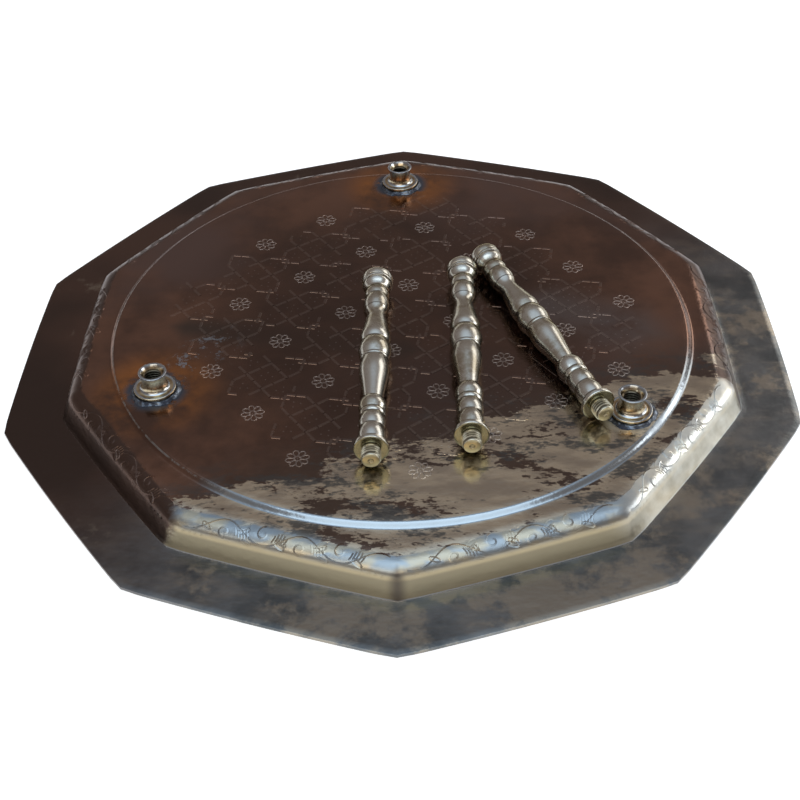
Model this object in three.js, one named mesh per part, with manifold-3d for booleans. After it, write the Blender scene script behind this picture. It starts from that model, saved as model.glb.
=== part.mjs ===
// A footed serving tray, lying face down with its three legs unscrewed and laid on it.
// Millimetres, +Z up. The origin is the middle of the tray, on the surface it lies on.

import * as THREE from 'three';
import Module from 'manifold-3d';
import { mergeVertices } from 'three/addons/utils/BufferGeometryUtils.js';

const wasm = await Module();
wasm.setup();

const DEGREE = Math.PI / 180;

// Tray sheet: one piece of metal, raised over a stake. Its underside faces up here, and
// the rim, the crease, the shoulder and the ring follow its ten sides.
const TRAY_ACROSS_CORNERS = 440;
const TRAY_SIDES = 10;
const SIDE_BOW = 1.2;
const SHEET_THICKNESS = 2;
const EDGE_CHAMFER = 0.5;
const RIM_WIDTH = 30.8;
const WALL_RUN = 4.2;
const SHOULDER = { run: 12.5, rise: 8.2 };
const RING_WIDTH = 4.1;
const STEP = { run: 4, rise: 2.2 };
const DISC_HEIGHT = 21.5;

// Threaded sockets, soldered to the underside of the disc. A foot carries a rounded rim
// that overhangs it, and a waisted collar rises from a shallow dish inside the rim to a
// belled mouth.
const THREAD = { diameter: 10, pitch: 1.5, depth: 0.8, clearance: 0.25 };
const SOCKET_HEIGHT = 12.8;
const SOCKET_FLOOR = 2;
const SOCKET_FOOT = { radius: 10.3, height: 1 };
const SOCKET_RIM = { overhang: 0.7, height: 2, round: 0.5 };
const SOCKET_DISH = { run: 2.4, depth: 0.3 };
const SOCKET_WAIST = { radius: 6.2, height: 7 };
const SOCKET_MOUTH = { radius: 7.3, round: 0.3, land: 0.8 };
const SOCKET_FUNNEL_DEPTH = 2.2;

// Solder beads round the sockets' feet. Each socket stands so far in from the disc's edge
// that its solder stays on the disc by a margin.
const SOLDER = { width: 1.4, height: 1.4, edgeHeight: 0.35, raggedness: 0.4 };
const SOCKET_BEARINGS = { far: 90.45, left: 204.7, right: 325.2 };
const SOCKET_MARGINS = { far: 0.1, left: 3.3, right: 0.7 };

// Turned legs, as forms that follow each other from the domed foot to the flange that
// meets the socket.
const FOOT_FACE_RADIUS = 5.5;
const FOOT_CAP = { length: 4, radius: 8.8 };
const FOOT_GROOVE = { length: 2.6, radius: 8.4 };
const FOOT_FILLET = { length: 2, radius: 8.6 };
const FOOT_BELL = { shoulder: 1, fall: 4.4, radius: 7.9 };
const FOOT_NECK_LENGTH = 1;
const NECK_RADIUS = 6.1;
const FOOT_RING = { length: 6.6, radius: 6.8 };
const FOOT_BEAD = { length: 10.3, radius: 6.9 };
const BALUSTER = { length: 30, waist: 4.95, waistAt: 5, belly: 8.1, bellyAt: 25.5 };
const BALL_NECK_RADIUS = 7.2;
const BALL = { length: 13.5, radius: 8.7 };
const BALL_RING = { length: 1.9, radius: 7.6 };
const VASE = { length: 31.8, belly: 7.9, bellyAt: 8, end: 4.8 };
const CUP = { ledge: 0.3, length: 8.8, radius: 7.25 };
const CUP_RING = { length: 3.5, radius: 6.8 };
const UPPER_BEAD = { length: 8.9, radius: 6.8 };
const LOWER_BEAD = { length: 9.4, radius: 6.85 };
const FLANGE_COVE_LENGTH = 3.1;
const FLANGE = { length: 1.5, radius: 8.8, bevel: 0.5 };

// Studs: a plain tenon let into the leg, and a threaded end with a smooth tip outside it.
const TENON = { length: 12, radius: 4.2 };
const STUD_LENGTH = 7.8;
const STUD_NECK = { length: 1.2, radius: 4.8 };
const STUD_TIP = { length: 1, radius: 4.4, round: 0.5 };
const STUD_CENTRE = { radius: 1.5, depth: 0.6 };

// Where the legs lie. The right one's flange is close beside its socket, the middle one's
// foot is close beside the right leg, and the left one lies clear of both.
const HEADINGS = { left: -90.2, middle: -89.7, right: -68.8 };
const RIGHT_FLANGE = { short: 2.1, beside: 1 };
const MIDDLE_FOOT = { behind: 12.3, beside: 1.5 };
const LEFT_FOOT = { aside: 47.5, behind: 9.3 };

// Clearances and smoothness
const SEAT_GAP = 0.3;
const SEGMENTS_PER_SIDE = 7;
const SHOULDER_STEPS = 6;
const STEP_STEPS = 4;
const LEG_SEGMENTS = 16;
const CAP_STEPS = 3;
const BEAD_STEPS = 4;
const RING_STEPS = 2;
const FLARE_STEPS = 3;
const SWEEP_STEPS = 6;
const SOCKET_SEGMENTS = 18;
const THREAD_SEGMENTS = 12;
const SOLDER_SEGMENTS = 30;

const FINISHES = {
  sheet: { color: 0x54403a, roughness: 0.3 },
  socket: { color: 0xb9a67c, roughness: 0.25 },
  solder: { color: 0x4a4f57, roughness: 0.55 },
  leg: { color: 0xa9a69c, roughness: 0.3 },
  stud: { color: 0xb0a688, roughness: 0.35 },
};

// Closed shapes

// Merges shared corners and drops the slivers that a lathe leaves on its axis.
function closed(geometry) {
  geometry.deleteAttribute('normal');
  geometry.deleteAttribute('uv');
  const merged = mergeVertices(geometry);
  const corners = merged.index.array;
  const kept = [];
  for (let i = 0; i < corners.length; i += 3) {
    const [a, b, c] = corners.slice(i, i + 3);
    if (a !== b && b !== c && c !== a) kept.push(a, b, c);
  }
  merged.setIndex(kept);
  return merged;
}

// Turns a profile of [radius, height] corners about +Z.
function turned(profile, segments) {
  const points = profile.map(([radius, height]) => new THREE.Vector2(radius, height));
  const geometry = new THREE.LatheGeometry(points, segments);
  geometry.rotateX(90 * DEGREE);
  return closed(geometry);
}

// Moves each corner outwards or inwards to the radius that a rule gives it.
function reshaped(geometry, radiusFor) {
  const position = geometry.attributes.position;
  for (let i = 0; i < position.count; i++) {
    const x = position.getX(i);
    const y = position.getY(i);
    const radius = Math.hypot(x, y);
    if (radius === 0) continue;
    const share = radiusFor(radius, Math.atan2(y, x)) / radius;
    position.setXY(i, x * share, y * share);
  }
  return geometry;
}

function solidOf(geometry) {
  const mesh = new wasm.Mesh({
    numProp: 3,
    vertProperties: Float32Array.from(geometry.attributes.position.array),
    triVerts: Uint32Array.from(geometry.index.array),
  });
  return new wasm.Manifold(mesh);
}

function geometryOf(solid) {
  const mesh = solid.getMesh();
  const geometry = new THREE.BufferGeometry();
  geometry.setAttribute('position', new THREE.BufferAttribute(mesh.vertProperties, 3));
  geometry.setIndex(new THREE.BufferAttribute(mesh.triVerts, 1));
  return geometry;
}

function piece(name, geometry, finish) {
  const shaded = geometry.clone();
  shaded.computeVertexNormals();
  const material = new THREE.MeshStandardMaterial({ ...finish, metalness: 1 });
  const mesh = new THREE.Mesh(shaded, material);
  mesh.name = name;
  return mesh;
}

// Threads

const thread = {
  root: THREAD.diameter / 2 - THREAD.depth,
  crest: THREAD.diameter / 2,
};
const tapped = {
  root: thread.root + THREAD.clearance,
  crest: thread.crest + THREAD.clearance,
};

// A screw along +Z. Its rows of corners are roots and crests by turns, and each climbs one
// pitch on its way round, so at the seam a row meets the row two above it.
function screw({ root, crest }, turns) {
  const rows = 2 * turns;
  const last = THREAD_SEGMENTS - 1;
  const columns = [...Array(THREAD_SEGMENTS).keys()];
  const corner = (row, column) => row * THREAD_SEGMENTS + column;
  const positions = [];
  for (let row = 0; row <= rows; row++) {
    const radius = row % 2 ? crest : root;
    for (const column of columns) {
      const turn = column / THREAD_SEGMENTS;
      const angle = 360 * DEGREE * turn;
      const height = (row / 2 + turn) * THREAD.pitch;
      positions.push(radius * Math.cos(angle), radius * Math.sin(angle), height);
    }
  }
  const triangles = [];
  const addQuad = (a, b, c, d) => triangles.push(a, b, c, a, c, d);
  for (let row = 0; row < rows; row++) {
    for (const column of columns.slice(0, last)) {
      addQuad(corner(row, column), corner(row, column + 1),
        corner(row + 1, column + 1), corner(row + 1, column));
    }
    if (row + 3 <= rows) {
      addQuad(corner(row, last), corner(row + 2, 0), corner(row + 3, 0), corner(row + 1, last));
    }
  }
  const addCap = (edge, height, facesUp) => {
    const centre = positions.length / 3;
    positions.push(0, 0, height);
    edge.forEach((from, i) => {
      const to = edge[(i + 1) % edge.length];
      triangles.push(centre, ...(facesUp ? [from, to] : [to, from]));
    });
  };
  const bottomEdge = columns.map((column) => corner(0, column));
  const topEdge = columns.map((column) => corner(rows, column));
  addCap([...bottomEdge, corner(2, 0), corner(1, 0)], 0, false);
  addCap([...topEdge, corner(rows - 1, last), corner(rows - 2, last)],
    (turns + 1) * THREAD.pitch, true);
  const geometry = new THREE.BufferGeometry();
  geometry.setAttribute('position', new THREE.Float32BufferAttribute(positions, 3));
  geometry.setIndex(triangles);
  return solidOf(geometry);
}

// A stretch of screw from one height to another, chamfered from crest to root at its ends.
function threadBetween(low, high, { root, crest }) {
  const spareTurns = 2;
  const turns = Math.ceil((high - low) / THREAD.pitch) + 2 * spareTurns;
  const chamfer = crest - root;
  const envelope = turned([
    [0, low],
    [root, low],
    [crest + THREAD.clearance, low + chamfer],
    [crest + THREAD.clearance, high - chamfer],
    [root, high],
    [0, high],
  ], THREAD_SEGMENTS);
  return screw({ root, crest }, turns)
    .translate([0, 0, low - spareTurns * THREAD.pitch])
    .intersect(solidOf(envelope));
}

// Tray sheet. Outside the round step, a radius is that of a ten-sided outline's corners.

const cornerAngle = 180 * DEGREE / TRAY_SIDES;
const rimCorner = TRAY_ACROSS_CORNERS / 2;
const creaseCorner = rimCorner - RIM_WIDTH;
const shoulderCorner = creaseCorner - WALL_RUN;
const ringCorner = shoulderCorner - SHOULDER.run;
const stepFootRadius = ringCorner * Math.cos(cornerAngle) - RING_WIDTH;
const discRadius = stepFootRadius - STEP.run;
const ringHeight = DISC_HEIGHT - STEP.rise;

// The underside from the rim's edge in to the disc, as [radius, height].
function undersideProfile() {
  const profile = [[rimCorner, SHEET_THICKNESS], [creaseCorner, SHEET_THICKNESS]];
  for (let i = 0; i <= SHOULDER_STEPS; i++) {
    const turn = (90 * DEGREE * i) / SHOULDER_STEPS;
    profile.push([
      shoulderCorner - SHOULDER.run * (1 - Math.cos(turn)),
      ringHeight - SHOULDER.rise * (1 - Math.sin(turn)),
    ]);
  }
  for (let i = 0; i <= STEP_STEPS; i++) {
    const share = i / STEP_STEPS;
    profile.push([
      stepFootRadius - STEP.run * share,
      ringHeight + STEP.rise * (1 - Math.cos(180 * DEGREE * share)) / 2,
    ]);
  }
  return profile;
}

// The same line, one sheet thickness nearer the serving side and mitred at its corners.
function servingProfile(profile) {
  const normals = profile.slice(1).map(([radius, height], i) => {
    const [lastRadius, lastHeight] = profile[i];
    const edge = new THREE.Vector2(radius - lastRadius, height - lastHeight).normalize();
    return new THREE.Vector2(-edge.y, edge.x);
  });
  return profile.map(([radius, height], i) => {
    const before = normals[Math.max(i - 1, 0)];
    const after = normals[Math.min(i, normals.length - 1)];
    const reach = SHEET_THICKNESS / (1 + before.dot(after));
    return [radius + (before.x + after.x) * reach, height + (before.y + after.y) * reach];
  });
}

// Round inside the step, ten-sided with bowed sides outside the ring, and in between on it.
// Two corners lie on the Y axis.
function outlineRadius(radius, angle) {
  const side = 2 * cornerAngle;
  const fromMiddle = THREE.MathUtils.euclideanModulo(angle - 90 * DEGREE, side) - cornerAngle;
  const bow = SIDE_BOW * (radius / rimCorner) * (1 - (fromMiddle / cornerAngle) ** 2);
  const tenSided = (radius * Math.cos(cornerAngle)) / Math.cos(fromMiddle) + bow;
  const acrossRing = (radius - stepFootRadius) / (ringCorner - stepFootRadius);
  return THREE.MathUtils.lerp(radius, tenSided, THREE.MathUtils.clamp(acrossRing, 0, 1));
}

function sheetGeometry() {
  const underside = undersideProfile();
  const profile = [
    [0, DISC_HEIGHT - SHEET_THICKNESS],
    ...servingProfile(underside).toReversed(),
    [rimCorner, SHEET_THICKNESS - EDGE_CHAMFER],
    [rimCorner - EDGE_CHAMFER, SHEET_THICKNESS],
    ...underside.slice(1),
    [0, DISC_HEIGHT],
  ];
  return reshaped(turned(profile, TRAY_SIDES * SEGMENTS_PER_SIDE), outlineRadius);
}

// Sockets. Heights are above the disc.

const socketRimRadius = SOCKET_FOOT.radius + SOCKET_RIM.overhang;

function socketProfile() {
  const rimTop = SOCKET_FOOT.height + SOCKET_RIM.height;
  const dish = { radius: socketRimRadius - SOCKET_DISH.run, height: rimTop - SOCKET_DISH.depth };
  const profile = [
    [0, 0],
    [SOCKET_FOOT.radius, 0],
    [SOCKET_FOOT.radius, SOCKET_FOOT.height],
    [socketRimRadius, SOCKET_FOOT.height + SOCKET_RIM.round],
    [socketRimRadius, rimTop - SOCKET_RIM.round],
    [socketRimRadius - SOCKET_RIM.round, rimTop],
  ];
  for (let i = 0; i <= FLARE_STEPS; i++) {
    const turn = (90 * DEGREE * i) / FLARE_STEPS;
    profile.push([
      dish.radius - (dish.radius - SOCKET_WAIST.radius) * Math.sin(turn),
      SOCKET_WAIST.height - (SOCKET_WAIST.height - dish.height) * Math.cos(turn),
    ]);
  }
  const { radius: mouthRadius, round, land } = SOCKET_MOUTH;
  const mouthLow = SOCKET_HEIGHT - round;
  for (let i = 1; i <= FLARE_STEPS; i++) {
    const share = i / FLARE_STEPS;
    profile.push([
      THREE.MathUtils.lerp(SOCKET_WAIST.radius, mouthRadius, share ** 2),
      THREE.MathUtils.lerp(SOCKET_WAIST.height, mouthLow, share),
    ]);
  }
  profile.push([mouthRadius - round, SOCKET_HEIGHT]);
  profile.push(
    [mouthRadius - round - land, SOCKET_HEIGHT],
    [thread.root, SOCKET_HEIGHT - SOCKET_FUNNEL_DEPTH],
    [thread.root, SOCKET_FLOOR],
    [0, SOCKET_FLOOR],
  );
  return profile;
}

const socketOutline = socketProfile();

function socketGeometry() {
  const threadLow = SOCKET_FLOOR + THREAD.pitch;
  const blank = solidOf(turned(socketOutline, SOCKET_SEGMENTS));
  return geometryOf(blank.subtract(threadBetween(threadLow, SOCKET_HEIGHT, tapped)));
}

// The solder is tucked under the socket's rim, crests just outside it and wanders round
// its own outer edge. Its waves start at the socket's bearing.

const solderInner = SOCKET_FOOT.radius + SEAT_GAP;
const solderCrest = socketRimRadius + 2 * SEAT_GAP;
const solderOuter = socketRimRadius + SOLDER.width;

function solderGeometry(bearing) {
  const tuckHeight = SOCKET_FOOT.height - SEAT_GAP;
  const geometry = turned([
    [solderInner, 0],
    [solderOuter, 0],
    [solderOuter, SOLDER.edgeHeight],
    [solderCrest, SOLDER.height],
    [solderInner, tuckHeight],
    [solderInner, 0],
  ], SOLDER_SEGMENTS);
  return reshaped(geometry, (radius, angle) => {
    const start = angle + bearing * DEGREE;
    const wave = (Math.sin(3 * start) + Math.sin(5 * start)) / 2;
    const outwards = Math.max(0, (radius - solderCrest) / (solderOuter - solderCrest));
    return radius + SOLDER.raggedness * wave * outwards;
  });
}

function socketCentre(place) {
  const radius = discRadius - SOCKET_MARGINS[place] - SOLDER.raggedness - solderOuter;
  const angle = SOCKET_BEARINGS[place] * DEGREE;
  return new THREE.Vector2(radius * Math.cos(angle), radius * Math.sin(angle));
}

// Legs. Each form adds its corners to the profile, from the foot up.

function addCorner(profile, length, radius) {
  profile.push([radius, profile.at(-1)[1] + length]);
}

function addBead(profile, { length, radius }, neckRadius, steps = BEAD_STEPS) {
  for (let i = 1; i <= steps; i++) {
    const swell = Math.sin((180 * DEGREE * i) / steps);
    addCorner(profile, length / steps, THREE.MathUtils.lerp(neckRadius, radius, swell));
  }
}

// Knots are [distance from the form's start, radius].
function addSweep(profile, knots) {
  const start = profile.at(-1)[1];
  const curve = new THREE.SplineCurve(knots.map(
    ([distance, radius]) => new THREE.Vector2(radius, start + distance)));
  const points = curve.getPoints(SWEEP_STEPS).slice(1);
  profile.push(...points.map((point) => [point.x, point.y]));
}

function legProfile() {
  const profile = [[0, 0], [FOOT_FACE_RADIUS, 0]];
  for (let i = 1; i <= CAP_STEPS; i++) {
    const turn = (90 * DEGREE * i) / CAP_STEPS;
    profile.push([
      THREE.MathUtils.lerp(FOOT_FACE_RADIUS, FOOT_CAP.radius, Math.sin(turn)),
      FOOT_CAP.length * (1 - Math.cos(turn)),
    ]);
  }
  addCorner(profile, FOOT_GROOVE.length, FOOT_GROOVE.radius);
  addCorner(profile, FOOT_FILLET.length / 2, FOOT_FILLET.radius);
  addCorner(profile, FOOT_FILLET.length / 2, FOOT_BELL.radius);
  addCorner(profile, FOOT_BELL.shoulder, FOOT_BELL.radius);
  for (let i = 1; i <= BEAD_STEPS; i++) {
    const ogee = (1 + Math.cos((180 * DEGREE * i) / BEAD_STEPS)) / 2;
    addCorner(profile, FOOT_BELL.fall / BEAD_STEPS,
      THREE.MathUtils.lerp(NECK_RADIUS, FOOT_BELL.radius, ogee));
  }
  addCorner(profile, FOOT_NECK_LENGTH, NECK_RADIUS);
  addBead(profile, FOOT_RING, NECK_RADIUS, RING_STEPS);
  addBead(profile, FOOT_BEAD, NECK_RADIUS);
  addSweep(profile, [
    [0, NECK_RADIUS],
    [BALUSTER.waistAt, BALUSTER.waist],
    [(BALUSTER.waistAt + BALUSTER.bellyAt) / 2, (BALUSTER.waist + BALUSTER.belly) / 2],
    [BALUSTER.bellyAt, BALUSTER.belly],
    [BALUSTER.length, BALL_NECK_RADIUS],
  ]);
  addBead(profile, BALL, BALL_NECK_RADIUS);
  addBead(profile, BALL_RING, BALL_NECK_RADIUS, RING_STEPS);
  addSweep(profile, [
    [0, BALL_NECK_RADIUS],
    [VASE.bellyAt, VASE.belly],
    [(VASE.bellyAt + VASE.length) / 2, (VASE.belly + VASE.end) / 2],
    [VASE.length, VASE.end],
  ]);
  addCorner(profile, CUP.ledge, NECK_RADIUS);
  addBead(profile, CUP, NECK_RADIUS);
  addBead(profile, CUP_RING, NECK_RADIUS, RING_STEPS);
  addBead(profile, UPPER_BEAD, NECK_RADIUS);
  addBead(profile, LOWER_BEAD, NECK_RADIUS);
  for (let i = 1; i <= FLARE_STEPS; i++) {
    const flare = 1 - Math.cos((90 * DEGREE * i) / FLARE_STEPS);
    addCorner(profile, FLANGE_COVE_LENGTH / FLARE_STEPS,
      THREE.MathUtils.lerp(NECK_RADIUS, FLANGE.radius, flare));
  }
  addCorner(profile, FLANGE.length, FLANGE.radius);
  addCorner(profile, FLANGE.bevel, FLANGE.radius - FLANGE.bevel);
  return profile;
}

const legOutline = legProfile();
const legLength = legOutline.at(-1)[1];
const studTip = legLength + STUD_LENGTH;
const footStation = FOOT_CAP.length;

function legGeometry() {
  const holeRadius = TENON.radius + SEAT_GAP;
  const holeFloor = legLength - TENON.length - SEAT_GAP;
  const hole = [[holeRadius, legLength], [holeRadius, holeFloor], [0, holeFloor]];
  return turned([...legOutline, ...hole], LEG_SEGMENTS);
}

// The stud keeps the leg's heights: its tenon starts at the bottom of the leg's hole.
function studGeometry() {
  const neckLow = legLength + SEAT_GAP;
  const neckHigh = legLength + STUD_NECK.length;
  const tipLow = studTip - STUD_TIP.length;
  const coreRadius = thread.root - THREAD.clearance;
  const core = turned([
    [0, legLength - TENON.length],
    [TENON.radius, legLength - TENON.length],
    [TENON.radius, neckLow],
    [STUD_NECK.radius, neckLow],
    [STUD_NECK.radius, neckHigh],
    [coreRadius, neckHigh],
    [coreRadius, tipLow],
    [STUD_TIP.radius, tipLow],
    [STUD_TIP.radius, studTip - STUD_TIP.round],
    [STUD_TIP.radius - STUD_TIP.round, studTip],
    [STUD_CENTRE.radius, studTip],
    [0, studTip - STUD_CENTRE.depth],
  ], THREAD_SEGMENTS);
  const overlap = THREAD.pitch / 4;
  const threaded = threadBetween(neckHigh - overlap, tipLow + overlap, thread);
  return geometryOf(solidOf(core).add(threaded));
}

// Laying the legs down, level, on the parts of them that are thickest

const axisHeight = DISC_HEIGHT + SEAT_GAP + Math.max(...legOutline.map(([radius]) => radius));

function legPlace(footCentre, heading) {
  const along = new THREE.Vector2(Math.cos(heading * DEGREE), Math.sin(heading * DEGREE));
  const leftwards = new THREE.Vector2(-along.y, along.x);
  const footEnd = footCentre.clone().addScaledVector(along, -footStation);
  const pointAt = (station, aside) => footEnd.clone()
    .addScaledVector(along, station)
    .addScaledVector(leftwards, aside);
  return { heading, along, footCentre, footEnd, pointAt };
}

// The least distance at which a rule still gives the wanted gap, by halving.
function slideUpTo(gapAt, wanted) {
  const halvings = 24;
  let tooNear = 0;
  let clear = legLength;
  for (let i = 0; i < halvings; i++) {
    const distance = (tooNear + clear) / 2;
    if (gapAt(distance) > wanted) clear = distance;
    else tooNear = distance;
  }
  return clear;
}

// The least level distance from a lying leg to a round form that stands on the disc.
function gapToStanding(place, centre, outline) {
  const lying = [...legOutline, [thread.crest, legLength], [thread.crest, studTip]];
  const gaps = outline.flatMap(([standingRadius, height]) => {
    const drop = DISC_HEIGHT + height - axisHeight;
    const reached = lying.filter(([radius]) => radius > Math.abs(drop));
    return reached.map(([radius, station]) => {
      const halfWidth = Math.sqrt(radius ** 2 - drop ** 2);
      const offset = centre.clone().sub(place.pointAt(station, 0));
      const aside = Math.abs(offset.cross(place.along));
      const nearest = Math.max(0, aside - halfWidth);
      return Math.hypot(offset.dot(place.along), nearest) - standingRadius;
    });
  });
  return Math.min(...gaps);
}

function legRadiusAt(station) {
  const next = legOutline.findIndex(([, height]) => height >= station);
  const [lowRadius, low] = legOutline[next - 1];
  const [highRadius, high] = legOutline[next];
  return THREE.MathUtils.mapLinear(station, low, high, lowRadius, highRadius);
}

// The least distance, square to one leg or the other, between two legs that lie side by
// side. It is negative where they overlap.
function gapBetween(rightward, leftward) {
  const gapsTo = (place, points) => points.map((point) => {
    const offset = point.sub(place.footEnd);
    const station = offset.dot(place.along);
    if (station <= 0 || station >= legLength) return Infinity;
    return Math.abs(offset.cross(place.along)) - legRadiusAt(station);
  });
  const leftSide = legOutline.map(([radius, station]) => leftward.pointAt(station, radius));
  const rightSide = legOutline.map(([radius, station]) => rightward.pointAt(station, -radius));
  return Math.min(...gapsTo(rightward, leftSide), ...gapsTo(leftward, rightSide));
}

function rightLegPlace(centre) {
  const heading = HEADINGS.right;
  const along = new THREE.Vector2(Math.cos(heading * DEGREE), Math.sin(heading * DEGREE));
  const rightwards = new THREE.Vector2(along.y, -along.x);
  const placeAt = (distance) => legPlace(
    centre.clone()
      .addScaledVector(along, footStation - legLength - RIGHT_FLANGE.short)
      .addScaledVector(rightwards, distance),
    heading);
  const gapAt = (distance) => gapToStanding(placeAt(distance), centre, socketOutline);
  return placeAt(slideUpTo(gapAt, RIGHT_FLANGE.beside));
}

function middleLegPlace(right) {
  const placeAt = (distance) => legPlace(
    new THREE.Vector2(right.footCentre.x - distance, right.footCentre.y - MIDDLE_FOOT.behind),
    HEADINGS.middle);
  const gapAt = (distance) => gapBetween(right, placeAt(distance));
  return placeAt(slideUpTo(gapAt, MIDDLE_FOOT.beside));
}

function leftLegPlace(middle) {
  const { x, y } = middle.footCentre;
  return legPlace(new THREE.Vector2(x - LEFT_FOOT.aside, y - LEFT_FOOT.behind), HEADINGS.left);
}

// Assembly

const tray = new THREE.Group();
tray.add(piece('tray_sheet', sheetGeometry(), FINISHES.sheet));

const socketShape = socketGeometry();
for (const [place, bearing] of Object.entries(SOCKET_BEARINGS)) {
  const centre = socketCentre(place);
  const group = new THREE.Group();
  group.add(piece(`leg_socket_${place}`, socketShape, FINISHES.socket));
  group.add(piece(`solder_ring_${place}`, solderGeometry(bearing), FINISHES.solder));
  group.position.set(centre.x, centre.y, DISC_HEIGHT);
  tray.add(group);
}

const right = rightLegPlace(socketCentre('right'));
const middle = middleLegPlace(right);
const left = leftLegPlace(middle);
const legShape = legGeometry();
const studShape = studGeometry();
for (const [name, { heading, footEnd }] of Object.entries({ left, middle, right })) {
  const leg = new THREE.Group();
  leg.add(piece(`leg_${name}`, legShape, FINISHES.leg));
  leg.add(piece(`leg_stud_${name}`, studShape, FINISHES.stud));
  leg.position.set(footEnd.x, footEnd.y, axisHeight);
  leg.rotation.set(90 * DEGREE, 0, (heading + 90) * DEGREE, 'ZYX');
  tray.add(leg);
}

export default tray;
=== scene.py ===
# %% [markdown]
# A footed serving tray, lying face down with its legs unscrewed. This lesson dresses a
# measured model of it: the tray's sheet, three threaded sockets in their solder, and three
# turned legs with threaded studs. The measured model is the frame, and it never moves.
# Everything is in metres, +Z is up, and the tray lies on z = 0.

import math
import random
from types import SimpleNamespace

import bmesh
import bpy
from mathutils import Matrix, Vector, noise


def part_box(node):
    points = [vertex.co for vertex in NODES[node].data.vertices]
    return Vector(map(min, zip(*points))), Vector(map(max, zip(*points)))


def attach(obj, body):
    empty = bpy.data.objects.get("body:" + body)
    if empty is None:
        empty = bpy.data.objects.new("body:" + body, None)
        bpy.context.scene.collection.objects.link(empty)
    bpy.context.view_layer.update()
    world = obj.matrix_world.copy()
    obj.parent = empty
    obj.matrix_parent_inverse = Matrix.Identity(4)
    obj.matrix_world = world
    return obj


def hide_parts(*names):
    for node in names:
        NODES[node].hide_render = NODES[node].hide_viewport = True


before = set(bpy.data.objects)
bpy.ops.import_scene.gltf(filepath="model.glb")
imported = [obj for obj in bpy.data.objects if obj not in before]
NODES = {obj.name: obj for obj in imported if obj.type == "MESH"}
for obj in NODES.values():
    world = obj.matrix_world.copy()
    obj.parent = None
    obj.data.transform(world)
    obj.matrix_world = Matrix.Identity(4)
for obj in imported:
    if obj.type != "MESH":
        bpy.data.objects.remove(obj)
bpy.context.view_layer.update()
MM = 0.001

# %% [markdown]
# The camera comes first, because every later choice is judged through it. It stands in
# front of the tray, looks down at it by about forty degrees and leans a little to one side.
# Aiming it at a named point is easier to read than a table of angles.

# %% Camera
CAMERA_PLACE = Vector((0.016592, -0.600684, 0.468653))
CAMERA_AIM = Vector((0.000562, -0.068901, 0.0215))
CAMERA_LEAN = math.radians(-1.925)
PICTURE_SIZE = 800
FOCAL_PIXELS = 1353.4


def make_camera():
    data = bpy.data.cameras.new("camera")
    data.angle = 2 * math.atan(PICTURE_SIZE / 2 / FOCAL_PIXELS)
    camera = bpy.data.objects.new("camera", data)
    bpy.context.scene.collection.objects.link(camera)
    aim = (CAMERA_AIM - CAMERA_PLACE).to_track_quat("-Z", "Y")
    camera.matrix_world = (
        Matrix.Translation(CAMERA_PLACE)
        @ aim.to_matrix().to_4x4()
        @ Matrix.Rotation(CAMERA_LEAN, 4, "Z")
    )
    bpy.context.scene.camera = camera
    return camera


camera = make_camera()
print("lens", round(camera.data.lens, 2), "mm")

# %% [markdown]
# Nodes are easier to read when each one takes a single line, so a small helper makes a node
# with its settings and its inputs. An input is a number, a colour or another node's output.

# %% Node helpers
def add_node(tree, kind, inputs=None, **settings):
    node = tree.nodes.new("ShaderNode" + kind)
    for name, value in settings.items():
        setattr(node, name, value)
    for name, value in (inputs or {}).items():
        if isinstance(value, bpy.types.NodeSocket):
            tree.links.new(value, node.inputs[name])
        else:
            node.inputs[name].default_value = value
    return node


def calculate(tree, operation, a, b=0.0, c=0.0):
    return add_node(tree, "Math", {0: a, 1: b, 2: c}, operation=operation).outputs[0]


def colour(red, green, blue):
    return (red, green, blue, 1.0)


# %% [markdown]
# The stage is a pale floor that fills the picture. Its material adds a glow to a white
# paint for the rays that the camera and shiny metal send out, so the floor reads white but
# still darkens where the tray shades it. A low ring closes the view at the horizon.

# %% Floor and backdrop
FLOOR_RADIUS = 6.0
BACKDROP_HEIGHT = 0.5
FLOOR_GAP = 0.0002
FLOOR_PAINT = colour(0.8, 0.8, 0.8)
FLOOR_GLOW = 0.62


def white_to_viewers():
    material = bpy.data.materials.new("white_floor")
    material.use_nodes = True
    tree = material.node_tree
    tree.nodes.clear()
    rays = add_node(tree, "LightPath")
    seen = calculate(tree, "MAXIMUM", rays.outputs["Is Camera Ray"], rays.outputs["Is Glossy Ray"])
    seen = calculate(tree, "MAXIMUM", seen, rays.outputs["Is Transmission Ray"])
    strength = calculate(tree, "MULTIPLY", seen, FLOOR_GLOW)
    diffuse = add_node(tree, "BsdfDiffuse", {"Color": FLOOR_PAINT})
    emission = add_node(tree, "Emission", {"Strength": strength})
    both = add_node(tree, "AddShader", {0: diffuse.outputs[0], 1: emission.outputs[0]})
    add_node(tree, "OutputMaterial", {"Surface": both.outputs[0]})
    return material


def make_stage():
    shape = bmesh.new()
    bmesh.ops.create_circle(shape, cap_ends=True, segments=96, radius=FLOOR_RADIUS)
    edges = [edge for edge in shape.edges if edge.is_boundary]
    wall = bmesh.ops.extrude_edge_only(shape, edges=edges)["geom"]
    corners = [item for item in wall if isinstance(item, bmesh.types.BMVert)]
    bmesh.ops.translate(shape, verts=corners, vec=(0, 0, BACKDROP_HEIGHT))
    bmesh.ops.translate(shape, verts=shape.verts, vec=(0, 0, -FLOOR_GAP))
    mesh = bpy.data.meshes.new("floor")
    shape.to_mesh(mesh)
    floor = bpy.data.objects.new("floor", mesh)
    bpy.context.scene.collection.objects.link(floor)
    mesh.materials.append(white_to_viewers())


make_stage()
print("floor", 2 * FLOOR_RADIUS, "m across")

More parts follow.
